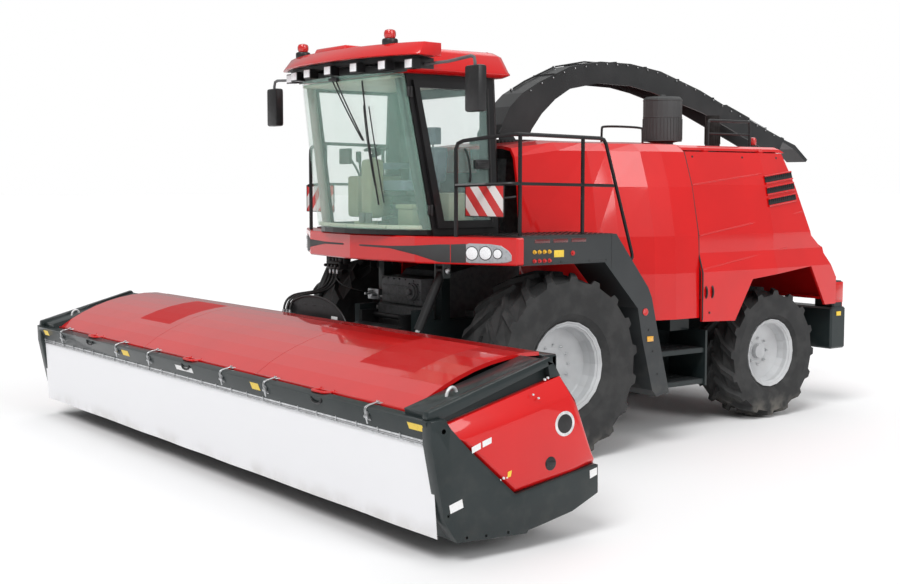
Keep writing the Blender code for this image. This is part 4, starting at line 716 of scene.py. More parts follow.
for word, side in SIDES:
    cover = layered(f"end_cover_{word}", [at_x(side * x, ring) for x, ring in COVER_RINGS], 0.005)
    settle(cover, red_enamel, "header")
    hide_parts(f"header_cover_{word}")

# Red bent handles that lift the hoods
HANDLE_BOW = ((-0.1, -2.965, 1.036), (-0.1, -3.04, 1.04), (-0.085, -3.07, 1.04), (0.085, -3.07, 1.04),
    (0.1, -3.04, 1.04), (0.1, -2.965, 1.036))
for number, middle in enumerate(HOOD_MIDDLES):
    group(f"hood_handle_{number + 1}", [
        pipe("handle_bow", [(middle + x, y, z) for x, y, z in HANDLE_BOW], 0.012),
        bar("handle_foot", (middle - 0.125, -2.986, 1.028), (middle - 0.075, -2.96, 1.048), 0.003),
        bar("handle_foot", (middle + 0.075, -2.986, 1.028), (middle + 0.125, -2.96, 1.048), 0.003),
    ], red_enamel, f"hood_{number + 1}")


# Wheels
# Steel discs in light silver enamel are bolted to the hubs; the field tyres
# are charcoal rubber with a matt skin, dusty between their lugs.
SILVER = (0.56, 0.57, 0.58, 1)
SILVER_SHADE = (0.43, 0.44, 0.45, 1)
RUBBER = (0.016, 0.0165, 0.017, 1)
RUBBER_WORN = (0.034, 0.034, 0.034, 1)
WHEELS = (
    # corner, axle Y, axle z, disc face x, bolt circle, bolts
    ("front", 0.0, 0.904, 1.53, 0.195, 12),
    ("rear", 3.475, 0.737, 1.092, 0.15, 8),
)
NUT_PARTS = (
    # name, inner and outer end from the disc's face, radius, sides
    ("wheel_washer", -0.01, 0.006, 0.019, 16),
    ("wheel_nut", -0.01, 0.022, 0.014, 6),
    ("wheel_stud", 0, 0.034, 0.007, 10),
)
wheel_silver = sprayed("wheel_silver", SILVER, SILVER_SHADE, 0.36, 0.35, dust=0.12, peel=0.03)
coat_nodes(wheel_silver, *[f"rim_{corner}_{side}" for corner in ("front", "rear") for side, _ in SIDES])

tyre_rubber, shader, place = new_material("tyre_rubber")
grain = place.noise(420.0, 3.0)
patches = place.noise(7.0, 5.0)
rings = place.noise(45.0, 2.0)
low = 1.0 - place.part(2).between(0.0, 0.35)
dusty = low * patches.between(0.4, 0.7) * 0.35
fill(place, shader, {
    "Base Color": dusty.mix(patches.between(0.35, 0.7).mix(RUBBER, RUBBER_WORN), DUST),
    "Roughness": patches * 0.2 + 0.62,
    "Normal": (grain + rings * 0.6).bump(0.25, 0.0015),
})
coat_nodes(tyre_rubber, *[f"tyre_{corner}_{side}" for corner in ("front", "rear") for side, _ in SIDES])

for corner, axle_y, axle_z, face_x, circle, count in WHEELS:
    for word, side in SIDES:
        nuts = []
        for y, z in around((axle_y, axle_z), circle, count):
            for name, inner, outer, radius, sides in NUT_PARTS:
                ends = (side * (face_x + inner), side * (face_x + outer))
                nuts.append(peg(name, "X", ends, (y, z), radius, 0.002, sides))
        group(f"wheel_nuts_{corner}_{word}", nuts, zinc, f"{corner}_wheel_{word}")


# Lift ram rods, cutting steel, castings and hose rubber
# The lift rams are black with plated rods. The knife and auger are bright
# steel, the axle and engine are castings.
chrome = metal("plated_rod", (0.72, 0.72, 0.73, 1), 0.16, 1.0, 0.02)
coat_nodes(chrome, "ram_rod_left", "ram_rod_right")
cutter_steel = metal("cutter_steel", (0.5, 0.5, 0.5, 1), 0.38, 1.0, 0.15)
coat_nodes(cutter_steel, "knife", "auger")
cast_iron = metal("cast_iron", (0.045, 0.046, 0.048, 1), 0.62, 0.2, 0.5, 90.0)
coat_nodes(cast_iron, "engine_block", "front_axle")

hose_rubber, shader, place = new_material("hose_rubber")
weave = place.noise(260.0, 2.0)
fill(place, shader, {
    "Base Color": weave.between(0.4, 0.6).mix((0.01, 0.01, 0.01, 1), (0.022, 0.022, 0.022, 1)),
    "Roughness": weave * 0.2 + 0.45,
    "Normal": weave.bump(0.2, 0.001),
})


# Valve block, hoses, guard and gearbox fittings below the deck
# The valve block hangs from the deck beam. Three rubber hoses with steel
# ends drop from it to the header, behind the arched coupling guard.
GUARD_MIDDLE, GUARD_HALF, GUARD_RISE = (-0.12, 1.17), 0.62, 0.37
HOSE_WIDTH = 0.024
GEAR_MIDDLE = (0.28, 1.565)


def hose(name, start, leave, end, arrive, radius, blended=False):
    """A hose of one smooth curve that leaves and arrives along its fittings."""
    start, leave, end, arrive = Vector(start), Vector(leave), Vector(end), Vector(arrive)
    route = []
    for step in range(33):
        t = step / 32
        first = start * (1 - t) ** 3 + (start + leave) * (3 * t * (1 - t) ** 2)
        route.append(first + (end + arrive) * (3 * t * t * (1 - t)) + end * t ** 3)
    piece = settle(pipe(name, route, radius, rounded=False), hose_rubber, None if blended else "chassis")
    route = [tuple(point + AXLE) for point in route]
    if blended:
        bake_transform(piece)


block_parts = [
    bar("valve_base", (-1.0, -0.945, 1.8), (-0.7, -0.855, 1.899), 0.006),
    bar("valve_body", (-0.98, -0.99, 1.745), (-0.72, -0.87, 1.83), 0.008),
]
for step in range(4):
    x = -0.95 + step * 0.068
    block_parts.append(peg("valve_coil", "Z", (1.8, 1.888), (x, -0.955), 0.022, 0.004, 20))
    block_parts.append(peg("valve_cap", "Y", (-1.03, -0.985), (x, 1.785), 0.017, 0.003, 6))
group("valve_block", block_parts, satin_black)
ends = []
HOSES = (
    ((-0.93, -0.97, 1.745), (-0.66, -1.685, 1.345)), ((-0.86, -0.97, 1.745), (-0.6, -1.685, 1.345)),
    ((-0.79, -0.97, 1.745), (-0.54, -1.685, 1.345)),
)
for number, (start, end) in enumerate(HOSES):
    hose(f"feed_hose_{number + 1}", (start[0], start[1], start[2] - 0.045), (0, -0.06, -0.34),
        (end[0], end[1], end[2] + 0.022), (0, 0.02, 0.3), HOSE_WIDTH / 2, blended=True)
    ends.append(stub("hose_ferrule", start, (start[0], start[1], start[2] - 0.05), 0.0155, 0.003, 16))
group("hose_ferrules", ends, zinc)
coupling = [bar("coupling_plate", (-0.72, -1.725, 1.341), (-0.48, -1.65, 1.349), 0.003)]
for _, end in HOSES:
    coupling.append(peg("coupling", "Z", (1.345, 1.378), (end[0], end[1]), 0.0155, 0.003, 16))
    coupling.append(peg("coupling_nut", "Z", (1.348, 1.362), (end[0], end[1]), 0.021, 0.003, 6))
group("couplings", coupling, zinc, "header")

arch = []
for step in range(25):
    turn = math.pi * step / 24
    x = GUARD_MIDDLE[0] - GUARD_HALF * math.cos(turn)
    arch.append((x, -1.652, GUARD_MIDDLE[1] + GUARD_RISE * math.sin(turn) ** 0.8))
guard = [panel("guard_face", arch, (0, 0.006, 0), 0.002), pipe("guard_rim", arch, 0.01, rounded=False)]
group("coupling_guard", guard, satin_black, "header")
marks = [bar("guard_slot", (x - 0.035, -1.6545, 1.445), (x + 0.035, -1.6515, 1.462), 0.002)
    for x in (-0.3, -0.12, 0.06)]
group("guard_slots", marks, cast_iron, "header")
settle(bar("guard_film", (0.2, -1.6545, 1.33), (0.31, -1.6515, 1.37), 0.001), white_film, "header")

gear = [
    bar("gear_casing", (-0.3, -0.74, 1.43), (0.4, -0.415, 1.7), 0.014),
    peg("gear_boss", "Y", (-0.73, -0.766), GEAR_MIDDLE, 0.086, 0.004, 40),
    peg("gear_cover", "Y", (-0.765, -0.79), GEAR_MIDDLE, 0.075, 0.006, 40, 0.006),
    peg("gear_hub", "Y", (-0.775, -0.815), GEAR_MIDDLE, 0.032, 0.004, 28),
    bar("gear_rib", (-0.26, -0.752, 1.5), (0.16, -0.741, 1.515), 0.003),
    bar("gear_rib", (-0.26, -0.752, 1.6), (0.16, -0.741, 1.615), 0.003),
]
for x, z in around(GEAR_MIDDLE, 0.105, 8):
    gear.append(peg("gear_bolt", "Y", (-0.738, -0.756), (x, z), 0.011, 0.003, 6))
for x in (-0.27, -0.17, -0.07, 0.03, 0.13):
    gear.append(peg("flange_bolt", "Y", (-0.738, -0.753), (x, 1.68), 0.01, 0.003, 6))
plate_grey = metal("gear_grey", (0.16, 0.165, 0.17, 1), 0.5, 0.3, 0.35, 120.0)
coat_nodes(plate_grey, "chopper_housing")
group("gear_fittings", gear, plate_grey)
fittings = [peg("fitting", "Y", (-0.7, -0.8), (x, z), 0.016, 0.003, 6)
    for x, z in ((-0.52, 1.5), (-0.46, 1.52), (-0.4, 1.49))]
fittings.append(bar("fitting_block", (-0.56, -0.74, 1.44), (-0.36, -0.69, 1.55), 0.006))
fittings.append(bar("fitting_arm", (-0.42, -0.72, 1.46), (-0.28, -0.7, 1.49)))
group("pipe_fittings", fittings, zinc)
hose("sensor_lead", (-0.76, -0.99, 1.8), (0.1, -0.18, -0.22), (-0.46, -0.8, 1.52), (-0.02, -0.16, 0.04), 0.007)

# pins and nuts through the rams' eyes
for word, side in SIDES:
    x = side * 0.98
    for name, place, body in (("ram_head", (-0.9, 1.82), "chassis"), ("ram_foot", (-1.42, 0.8), "header")):
        group(f"{name}_{word}", [
            peg("eye_pin", "X", (x - 0.085, x + 0.085), place, 0.021, 0.003, 20),
            peg("eye_nut", "X", (x + side * 0.075, x + side * 0.092), place, 0.03, 0.003, 6),
        ], zinc, body)


# Cab glass
# Curved safety glass, tinted a light green and faintly smeared.


def tinted(name, tint, alpha):
    made, shader, place = new_material(name)
    smear = place.noise(3.0, 4.0)
    fill(place, shader, {
        "Base Color": tint,
        "Roughness": smear * 0.03 + 0.01,
        "IOR": 1.45,
        "Alpha": smear * 0.06 + alpha,
        "Coat Weight": 0.6,
        "Specular IOR Level": 0.7,
    })
    return made


screen_glass = tinted("screen_glass", (0.52, 0.86, 0.72, 1), 0.12)
side_tint = tinted("side_tint", (0.58, 0.82, 0.76, 1), 0.09)
coat_nodes(screen_glass, "windscreen")
coat_nodes(side_tint, "door_glass", "side_glass_right", "rear_glass")

# Seat: a sprung seat in blue-grey woven cloth on a black base
# Sewn cushions: a deep base pad, a backrest with side bolsters, a headrest
# and an armrest, all over foam.
SEAT_BLUE = (0.2, 0.25, 0.32, 1)
SEAT_DEEP = (0.12, 0.155, 0.21, 1)


def cushion(name, low, high, lean=0.0, puff=0.5, shrink=0.012):
    """A stuffed pad: a cube is divided, pinched at its edges and swelled."""
    low, high = Vector(low), Vector(high)
    middle, size = (low + high) / 2, high - low
    bpy.ops.object.select_all(action="DESELECT")
    bpy.ops.mesh.primitive_cube_add(size=1, location=middle)
    piece = bpy.context.object
    piece.name = name
    piece.scale = [max(length - shrink, 0.01) for length in size]
    bpy.ops.object.transform_apply(location=True, rotation=True, scale=True)
    bpy.ops.object.mode_set(mode="EDIT")
    bpy.ops.mesh.select_all(action="SELECT")
    bpy.ops.mesh.subdivide(number_cuts=8)
    bpy.ops.object.mode_set(mode="OBJECT")
    for corner in piece.data.vertices:
        place = corner.co - middle
        share = [abs(place[k]) / (size[k] / 2) for k in range(3)]
        for k in range(3):
            others = [share[j] for j in range(3) if j != k]
            crown = (1 - others[0] ** 2) * (1 - others[1] ** 2)
            place[k] *= 1 - 0.1 * puff * (1 - crown)
        place.y += (place.z / size.z) * lean
        corner.co = middle + place
    select_only(piece)
    smooth = piece.modifiers.new("rounding", "SUBSURF")
    smooth.levels = smooth.render_levels = 1
    bpy.ops.object.modifier_apply(modifier=smooth.name)
    bpy.ops.object.shade_smooth()
    return piece


seat_cloth, shader, place = new_material("seat_cloth")
warp = place.waves("X", 190.0, 0.6)
weft = place.waves("Z", 190.0, 0.6)
wear = place.noise(6.0, 4.0)
fill(place, shader, {
    "Base Color": wear.between(0.3, 0.7).mix(SEAT_BLUE, SEAT_DEEP),
    "Roughness": wear * 0.1 + 0.82,
    "Normal": (warp * weft).bump(0.5, 0.001),
    "Sheen Weight": 0.25,
})
seat_parts = [
    cushion("seat_pad", (-0.265, -0.86, 2.56), (0.265, -0.36, 2.68)),
    cushion("seat_back", (-0.235, -0.4, 2.64), (0.235, -0.275, 3.02), 0.03),
    cushion("seat_side_left", (0.17, -0.43, 2.66), (0.26, -0.3, 2.98), 0.03),
    cushion("seat_side_right", (-0.26, -0.43, 2.66), (-0.17, -0.3, 2.98), 0.03),
    cushion("seat_headrest", (-0.15, -0.385, 3.03), (0.15, -0.285, 3.22)),
    cushion("seat_arm", (-0.395, -0.8, 2.78), (-0.285, -0.38, 2.86)),
]
driver_seat = group("driver_seat", seat_parts, seat_cloth)
seat_base = [
    bar("seat_pan", (-0.24, -0.8, 2.515), (0.24, -0.34, 2.565), 0.01),
    bar("seat_spring", (-0.17, -0.7, 2.3), (0.17, -0.4, 2.52), 0.02),
    bar("seat_foot", (-0.18, -0.72, 2.211), (0.18, -0.38, 2.3), 0.01),
    bar("arm_stay", (-0.3, -0.5, 2.6), (-0.262, -0.42, 2.8), 0.008),
    bar("headrest_post", (-0.06, -0.345, 2.98), (-0.045, -0.33, 3.05), 0.003),
    bar("headrest_post", (0.045, -0.345, 2.98), (0.06, -0.33, 3.05), 0.003),
]
for step in range(4):
    seat_base.append(bar("bellows_fold", (-0.185, -0.715, 2.32 + step * 0.045), (0.185, -0.385, 2.34 + step * 0.045),
        0.008))
group("seat_base", seat_base, satin_black)
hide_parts("seat")

# Steering column, cooler box, side controls and floor mat
# Moulded plastic in grey-green, with a fine grain.
MOULDED = (0.3, 0.32, 0.2, 1)
MOULDED_DARK = (0.085, 0.09, 0.08, 1)
MAT_PALE = (0.55, 0.6, 0.47, 1)


def moulded(name, colour, roughness=0.5):
    made, shader, place = new_material(name)
    grain = place.noise(500.0, 2.0)
    tone = place.noise(4.0, 2.0)
    worn = shaded(colour, 0.85)
    fill(place, shader, {
        "Base Color": tone.between(0.35, 0.65).mix(colour, worn),
        "Roughness": tone * 0.1 + roughness,
        "Normal": grain.bump(0.3, 0.0006),
    })
    return made


grey_green = moulded("grey_green_plastic", MOULDED)
dark_plastic = moulded("dark_plastic", MOULDED_DARK)
mat_plastic = moulded("mat_plastic", MAT_PALE)
column_plastic, shader, place = new_material("column_plastic")
grain = place.noise(500.0, 2.0)
raised = place.part(2).between(2.895, 2.905)
fill(place, shader, {
    "Base Color": raised.mix(MOULDED, BLACK_PALE),
    "Roughness": grain * 0.1 + 0.45,
    "Normal": grain.bump(0.3, 0.0006),
})
coat_nodes(column_plastic, "steering_column")
inside = [
    bar("column_shroud", (-0.03, -1.17, 2.3), (0.16, -1.0, 2.88), 0.04),
    bar("cooler_box", (0.4, -1.02, 2.212), (0.66, -0.8, 2.4), 0.02),
    bar("cooler_lid", (0.385, -1.035, 2.395), (0.675, -0.785, 2.44), 0.015),
    bar("right_console", (-0.62, -0.95, 2.3), (-0.42, -0.35, 2.72), 0.03),
    bar("seat_box_left", (0.42, -0.62, 2.212), (0.7, -0.3, 2.55), 0.03),
]
group("cab_mouldings", inside, grey_green)
controls = [
    bar("control_screen", (-0.66, -1.02, 2.84), (-0.46, -0.985, 3.0), 0.008),
    pipe("screen_stalk", [(-0.56, -0.98, 2.92), (-0.54, -0.9, 2.85), (-0.52, -0.85, 2.7)], 0.012),
    pipe("drive_lever", [(-0.5, -0.84, 2.7), (-0.49, -0.88, 2.82), (-0.47, -0.89, 2.9)], 0.013),
    stub("lever_grip", (-0.47, -0.9, 2.86), (-0.465, -0.905, 2.97), 0.028, 0.01),
    bar("key_panel", (-0.61, -0.8, 2.72), (-0.43, -0.45, 2.735)),
    bar("pedal_one", (0.1, -1.27, 2.26), (0.19, -1.245, 2.36), 0.008),
    bar("pedal_two", (0.22, -1.27, 2.26), (0.31, -1.245, 2.36), 0.008),
]
group("cab_controls", controls, dark_plastic)


# Floor strip below the windscreen, roof lining and trim of the front posts
DECK_TOP = 2.15
LEAN_IN, LEAN_AHEAD = 0.063, 0.168


def screen_y(x, z):
    """Outer face of the windscreen above the deck, ahead of the axle."""
    rise = z - DECK_TOP
    half = 0.96 - LEAN_IN * rise
    bow = 0.36 - 0.06 * (z - 2.204) / 1.456
    return -1.002 - LEAN_AHEAD * rise - bow * math.sqrt(max(0.0, 1 - (x / half) ** 2))


mat_strip = []
for first, last in ((-0.88, -0.02), (-0.005, 0.57), (0.585, 0.9)):
    steps = [first + (last - first) * k / 8 for k in range(9)]
    outer = [(x, screen_y(x, 2.22) + 0.028, 2.212) for x in steps]
    inner = [(x, screen_y(x, 2.22) + 0.085, 2.212) for x in steps[::-1]]
    mat_strip.append(panel("mat_strip", outer + inner, (0, 0, 0.035), 0.006))
group("screen_trim", mat_strip, mat_plastic)
lining = panel("roof_lining", [(-0.8, -1.36, 3.64), (0.8, -1.36, 3.64), (0.8, -0.22, 3.64), (-0.8, -0.22, 3.64)],
    (0, 0, -0.03), 0.01)
settle(lining, mat_plastic)
for side in (-1, 1):
    feet = [(side * 0.885, -1.035, 2.22), (side * 0.8, -1.265, 3.62)]
    trim = pipe("post_trim", feet, 0.045, rounded=False)
    settle(trim, satin_black if side > 0 else moulded("post_beige", (0.34, 0.34, 0.3, 1)))

# Wipers
# Two wiper arms of black steel cross the screen; their rubber blades are finished in satin black too.
wipers = []


def on_glass(x, z, proud=0.018):
    return (x, screen_y(x, z) - proud, z)


for shift in (0.0, 0.055):
    wipers.append(pipe("wiper_arm",
        [on_glass(0.155 + shift, 3.62, 0.05), on_glass(0.3 + shift * 0.7, 3.34, 0.045),
        on_glass(0.47 + shift * 0.3, 3.045, 0.03)], 0.007))
wipers.append(pipe("wiper_blade",
    [on_glass(0.532, 3.6), on_glass(0.53, 3.3), on_glass(0.532, 3.02), on_glass(0.55, 2.75), on_glass(0.571, 2.44)],
    0.008))
wipers.append(pipe("wiper_spine",
    [on_glass(0.528, 3.37, 0.028), on_glass(0.52, 3.03, 0.036), on_glass(0.56, 2.62, 0.028)], 0.005))
wipers.append(pipe("second_blade", [on_glass(0.58, 3.36), on_glass(0.6, 2.92), on_glass(0.634, 2.46)], 0.006))
wipers.append(stub("wiper_spindle", on_glass(0.18, 3.63, 0.0), on_glass(0.18, 3.63, 0.07), 0.022))
wipers.append(bar("wiper_head", (0.12, screen_y(0.18, 3.62) - 0.075, 3.61),
    (0.25, screen_y(0.18, 3.62) - 0.045, 3.64)))
group("wipers", wipers, satin_black)


# Door hinges, pull, lock and seal
# The door hangs on two forged hinges. A bent bar is its outer pull, and a
# black lock block sits at mid height.
hardware = []
for z in (2.39, 3.49):
    x = 0.965 - LEAN_IN * (z - DECK_TOP)
    y = -0.99 - LEAN_AHEAD * (z - DECK_TOP)
    hardware.append(bar("hinge_leaf", (x - 0.004, y - 0.02, z - 0.045), (x + 0.012, y + 0.05, z + 0.045)))
    hardware.append(peg("hinge_barrel", "Z", (z - 0.05, z + 0.05), (x + 0.014, y + 0.02), 0.013, 0.003, 20))
group("door_hinges", hardware, satin_black)
for_door = [
    pipe("door_pull", [(0.955, -0.56, 2.66), (0.985, -0.56, 2.68), (0.985, -0.6, 2.94), (0.945, -0.61, 2.97)], 0.011),
    bar("lock_block", (0.935, -0.5, 2.78), (0.975, -0.33, 2.87), 0.008),
    bar("lock_lever", (0.973, -0.49, 2.805), (0.99, -0.38, 2.845), 0.005),
]
group("door_fittings", for_door, satin_black, "door")
seal_ends = [(1.0 - LEAN_IN * (z - DECK_TOP), -0.305, z + inset) for z, inset in ((2.245, 0.02), (3.575, -0.02))]
settle(pipe("door_seals", seal_ends, 0.006, rounded=False), hose_rubber, "door")

# Outside rear mirrors: the glass and the black shell behind it
mirror_glass = metal("mirror_glass", (0.75, 0.78, 0.8, 1), 0.12, 1.0, 0.0)
for word, side in SIDES:
    face = bar(f"mirror_glass_{word}", (side * 1.71, -1.081, 3.295), (side * 1.87, -1.0775, 3.645), 0.003)
    settle(face, mirror_glass)
    case = bar(f"mirror_shell_{word}", (side * 1.687, -1.183, 3.267), (side * 1.893, -1.083, 3.673), 0.022)
    settle(case, satin_black)


# Work lamps, beacons and mirror tubes
# White lensed lamps in black housings, red dome beacons on black feet, and
# bent grey tubes that carry the mirrors.
LENS_WHITE = (0.86, 0.88, 0.9, 1)


def lensed(name, colour, glow=0.0, scale=120.0):
    """Clear or coloured plastic lens with fine ribs."""
    made, shader, place = new_material(name)
    ribs = place.waves("Z", scale * 0.5)
    cells = place.node("TexVoronoi", sockets={"Vector": place, "Scale": scale})
    fill(place, shader, {
        "Base Color": cells.between(0.0, 0.6).mix(shaded(colour, 0.72), colour),
        "Roughness": ribs * 0.08 + 0.12,
        "Coat Weight": 1.0,
        "Normal": (cells + ribs).bump(0.3, 0.001),
        "Emission Color": colour,
        "Emission Strength": glow,
    })
    return made


white_lens = lensed("white_lens", LENS_WHITE, glow=0.12)
clear_lens = lensed("clear_lens", (0.4, 0.42, 0.44, 1), scale=34.0)
red_lens = lensed("red_lens", (0.62, 0.01, 0.008, 1), scale=160.0)
dark_red_lens = lensed("dark_red_lens", (0.12, 0.006, 0.008, 1), scale=90.0)
mirror_tube = sprayed("mirror_tube", (0.16, 0.165, 0.17, 1), (0.11, 0.115, 0.12, 1), 0.4, 0.2)
coat_nodes(mirror_tube, "mirror_left", "mirror_right")

LAMP_TURNS = (-60, -40, -20, 0, 20, 40, 60)
LAMP_FULL = math.sin(math.radians(60))
BEACON = (0.79, -1.36)
LAMP_REACH, LAMP_FRONT, LAMP_BOW = 1.08, -1.33, 0.2
lamp_faces, lamp_shells = [], []
for turn in LAMP_TURNS:
    angle = math.radians(turn)
    x = LAMP_REACH * math.sin(angle) / LAMP_FULL
    y = LAMP_FRONT - LAMP_BOW * (math.cos(angle) - 0.5) / 0.5
    lamp_faces.append(bar("lamp_face", (x - 0.053, y - 0.034, 3.688), (x + 0.053, y - 0.02, 3.764), 0.006))
    lamp_shells.append(bar("lamp_ring", (x - 0.064, y - 0.026, 3.676), (x + 0.064, y - 0.016, 3.774), 0.008))
group("lamp_shells", lamp_shells, satin_black)
group("lamp_faces", lamp_faces, white_lens)

for word, side in SIDES:
    spot = (side * BEACON[0], BEACON[1])
    dome = [peg("beacon_dome", "Z", (3.968, 4.058), spot, 0.056, 0.03, 32)]
    for x, y in around(spot, 0.0495, 12):
        dome.append(bar("dome_rib", (x - 0.0015, y - 0.0015, 3.985), (x + 0.0015, y + 0.0015, 4.022), 0.0007))
    group(f"beacon_{word}", dome, red_lens)
    foot = peg("beacon_foot", "Z", (3.905, 3.974), spot, 0.074, 0.016, 32)
    settle(foot, satin_black)

# Headlamps and dark inserts of the fascia
# The band round the deck is pressed steel; a dark insert sits in its front.
FASCIA_LINE = ((0, -1.31), (0.95, -1.2), (1.7, -0.8), (1.86, -0.71))


def along_fascia(distance):
    """Place on the fascia's front face, this far from its middle."""
    side, left = (1, distance) if distance >= 0 else (-1, -distance)
    for (x0, y0), (x1, y1) in zip(FASCIA_LINE, FASCIA_LINE[1:]):
        length = math.hypot(x1 - x0, y1 - y0)
        if left <= length:
            share = left / length
            normal = ((y1 - y0) / length, -(x1 - x0) / length)
            return (side * (x0 + (x1 - x0) * share), y0 + (y1 - y0) * share, side * normal[0], normal[1])
        left -= length
    return (side * x1, y1, side * normal[0], normal[1])


def fascia_strip(name, stations, proud, depth):
    """A strip on the fascia from (distance, low, high) stations."""
    low_line, high_line = [], []
    for distance, low, high in stations:
        x, y, nx, ny = along_fascia(distance)
        low_line.append((x + nx * proud, y + ny * proud, low))
        high_line.append((x + nx * proud, y + ny * proud, high))
    count = len(stations)
    back_low = [(x, y + depth, z) for x, y, z in low_line]
    back_high = [(x, y + depth, z) for x, y, z in high_line]
    faces = []
    for k in range(count - 1):
        faces.append((k, k + 1, count + k + 1, count + k))
        faces.append((2 * count + k, 3 * count + k, 3 * count + k + 1, 2 * count + k + 1))
        faces.append((k, 2 * count + k, 2 * count + k + 1, k + 1))
        faces.append((count + k, count + k + 1, 3 * count + k + 1, 3 * count + k))
    faces.append((0, count, 3 * count, 2 * count))
    faces.append((count - 1, 3 * count - 1, 4 * count - 1, 2 * count - 1))
    return shell(name, low_line + high_line + back_low + back_high, faces, 0.002)


insert_grey = moulded("insert_grey", (0.045, 0.048, 0.049, 1), 0.45)
STRIPS = (
    ("fascia_insert", insert_grey, 0.004,
        ((0.15, 2.035, 2.05), (0.6, 2.028, 2.05), (0.93, 1.985, 2.062), (0.957, 1.982, 2.064), (1.2, 1.918, 2.08),
        (1.32, 1.915, 2.082))),
    ("lamp_insert", insert_grey, 0.004, ((1.33, 1.915, 2.082), (1.48, 1.915, 2.09))),
    ("headlamp", clear_lens, 0.007,
        ((1.485, 1.925, 2.085), (1.52, 1.915, 2.095), (1.72, 1.918, 2.092), (1.83, 1.922, 2.078), (1.9, 1.93, 2.035),
        (1.93, 1.945, 1.995))),
)
for word, side in SIDES:
    for name, material, proud, stations in STRIPS:
        stations = [(side * distance, low, high) for distance, low, high in stations]
        settle(fascia_strip(f"{name}_{word}", stations, proud, 0.02), material)
    bowls, rings = [], []
    for distance, height, radius in ((1.545, 2.004, 0.058), (1.68, 2.008, 0.058), (1.8, 2.004, 0.04)):
        px, py, nx, ny = along_fascia(side * distance)
        start, out = (px + nx * 0.004, py + ny * 0.004, height), (px + nx * 0.0105, py + ny * 0.0105, height)
        ring_out = (px + nx * 0.009, py + ny * 0.009, height)
        rings.append(stub("bowl_ring", start, ring_out, radius + 0.008, 0.002, 32))
        bowls.append(stub("bowl", start, out, radius, 0.003, 32))
    group(f"lamp_bezels_{word}", rings, insert_grey)
    group(f"lamp_bowls_{word}", bowls, white_lens)


# Roof: tapered shell, bowed visor, air scoop and rear lip
# The roof is a moulded shell in body red. The visor is a tilted band, bowed
# forward over the lamps, with a low scoop in its middle.
ROOF_PLAN = ((3.662, 0.93, -1.27, -0.075), (3.69, 0.98, -1.3, -0.02), (3.715, 0.975, -1.3, -0.045),
    (3.86, 0.94, -1.27, -0.11), (3.9, 0.89, -1.22, -0.17))
ROOF_CORNER = 0.1


def visor_edge(reach, front, bow, height):
    """The visor's bowed edge, from right to left."""
    line = []
    for turn in range(-60, 61, 6):
        angle = math.radians(turn)
        swell = (math.cos(angle) - 0.5) / 0.5
        line.append((reach * math.sin(angle) / LAMP_FULL, -front - bow * swell, height))
    return line


roof_rings = []
for height, half, front, rear in ROOF_PLAN:
    left = [(half, front), (half, rear - ROOF_CORNER), (half - ROOF_CORNER * 0.3, rear - ROOF_CORNER * 0.3),
        (half - ROOF_CORNER, rear)]
    roof_rings.append([(x, y, height) for x, y in left] + [(-x, y, height) for x, y in left[::-1]])
visor = []
for height, reach, front, bow in ((3.8, 1.225, 1.335, 0.275), (3.805, 1.232, 1.342, 0.28),
        (3.915, 1.205, 1.268, 0.252), (3.922, 1.195, 1.258, 0.248)):
    visor.append(visor_edge(reach, front, bow, height) + visor_edge(1.17, 1.05, 0.1, height)[::-1])
scoop = layered("roof_scoop", [[(-0.36, -1.5, 3.9), (0.22, -1.5, 3.9), (0.26, -1.18, 3.9), (-0.4, -1.18, 3.9)],
    [(-0.34, -1.475, 3.962), (0.2, -1.475, 3.962), (0.22, -1.22, 3.955), (-0.36, -1.22, 3.955)]], 0.014)
rear_lip = layered("roof_lip", [[(0.1, -0.16, 3.885), (0.8, -0.16, 3.885), (0.84, -0.03, 3.8), (0.06, -0.03, 3.8)],
    [(0.14, -0.2, 3.925), (0.76, -0.2, 3.925), (0.8, -0.03, 3.835), (0.1, -0.03, 3.835)]], 0.012)
roof = joined("roof_shell", [layered("roof_dome", roof_rings, 0.012), layered("visor_band", visor, 0.004), scoop,
    rear_lip])
settle(roof, red_enamel)
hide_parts("cab_roof")
under = layered("visor_lining",
    [visor_edge(1.2, 1.31, 0.265, z) + visor_edge(0.95, 0.98, 0.05, z)[::-1] for z in (3.7975, 3.8015)], 0)
lining = joined("roof_underside",
    [under, bar("lining_front", (-0.972, -1.306, 3.664), (0.972, -1.296, 3.8), 0.002),
    bar("lining_side", (0.974, -1.3, 3.7), (0.984, -1.0, 3.8), 0.002)])
settle(lining, satin_black)


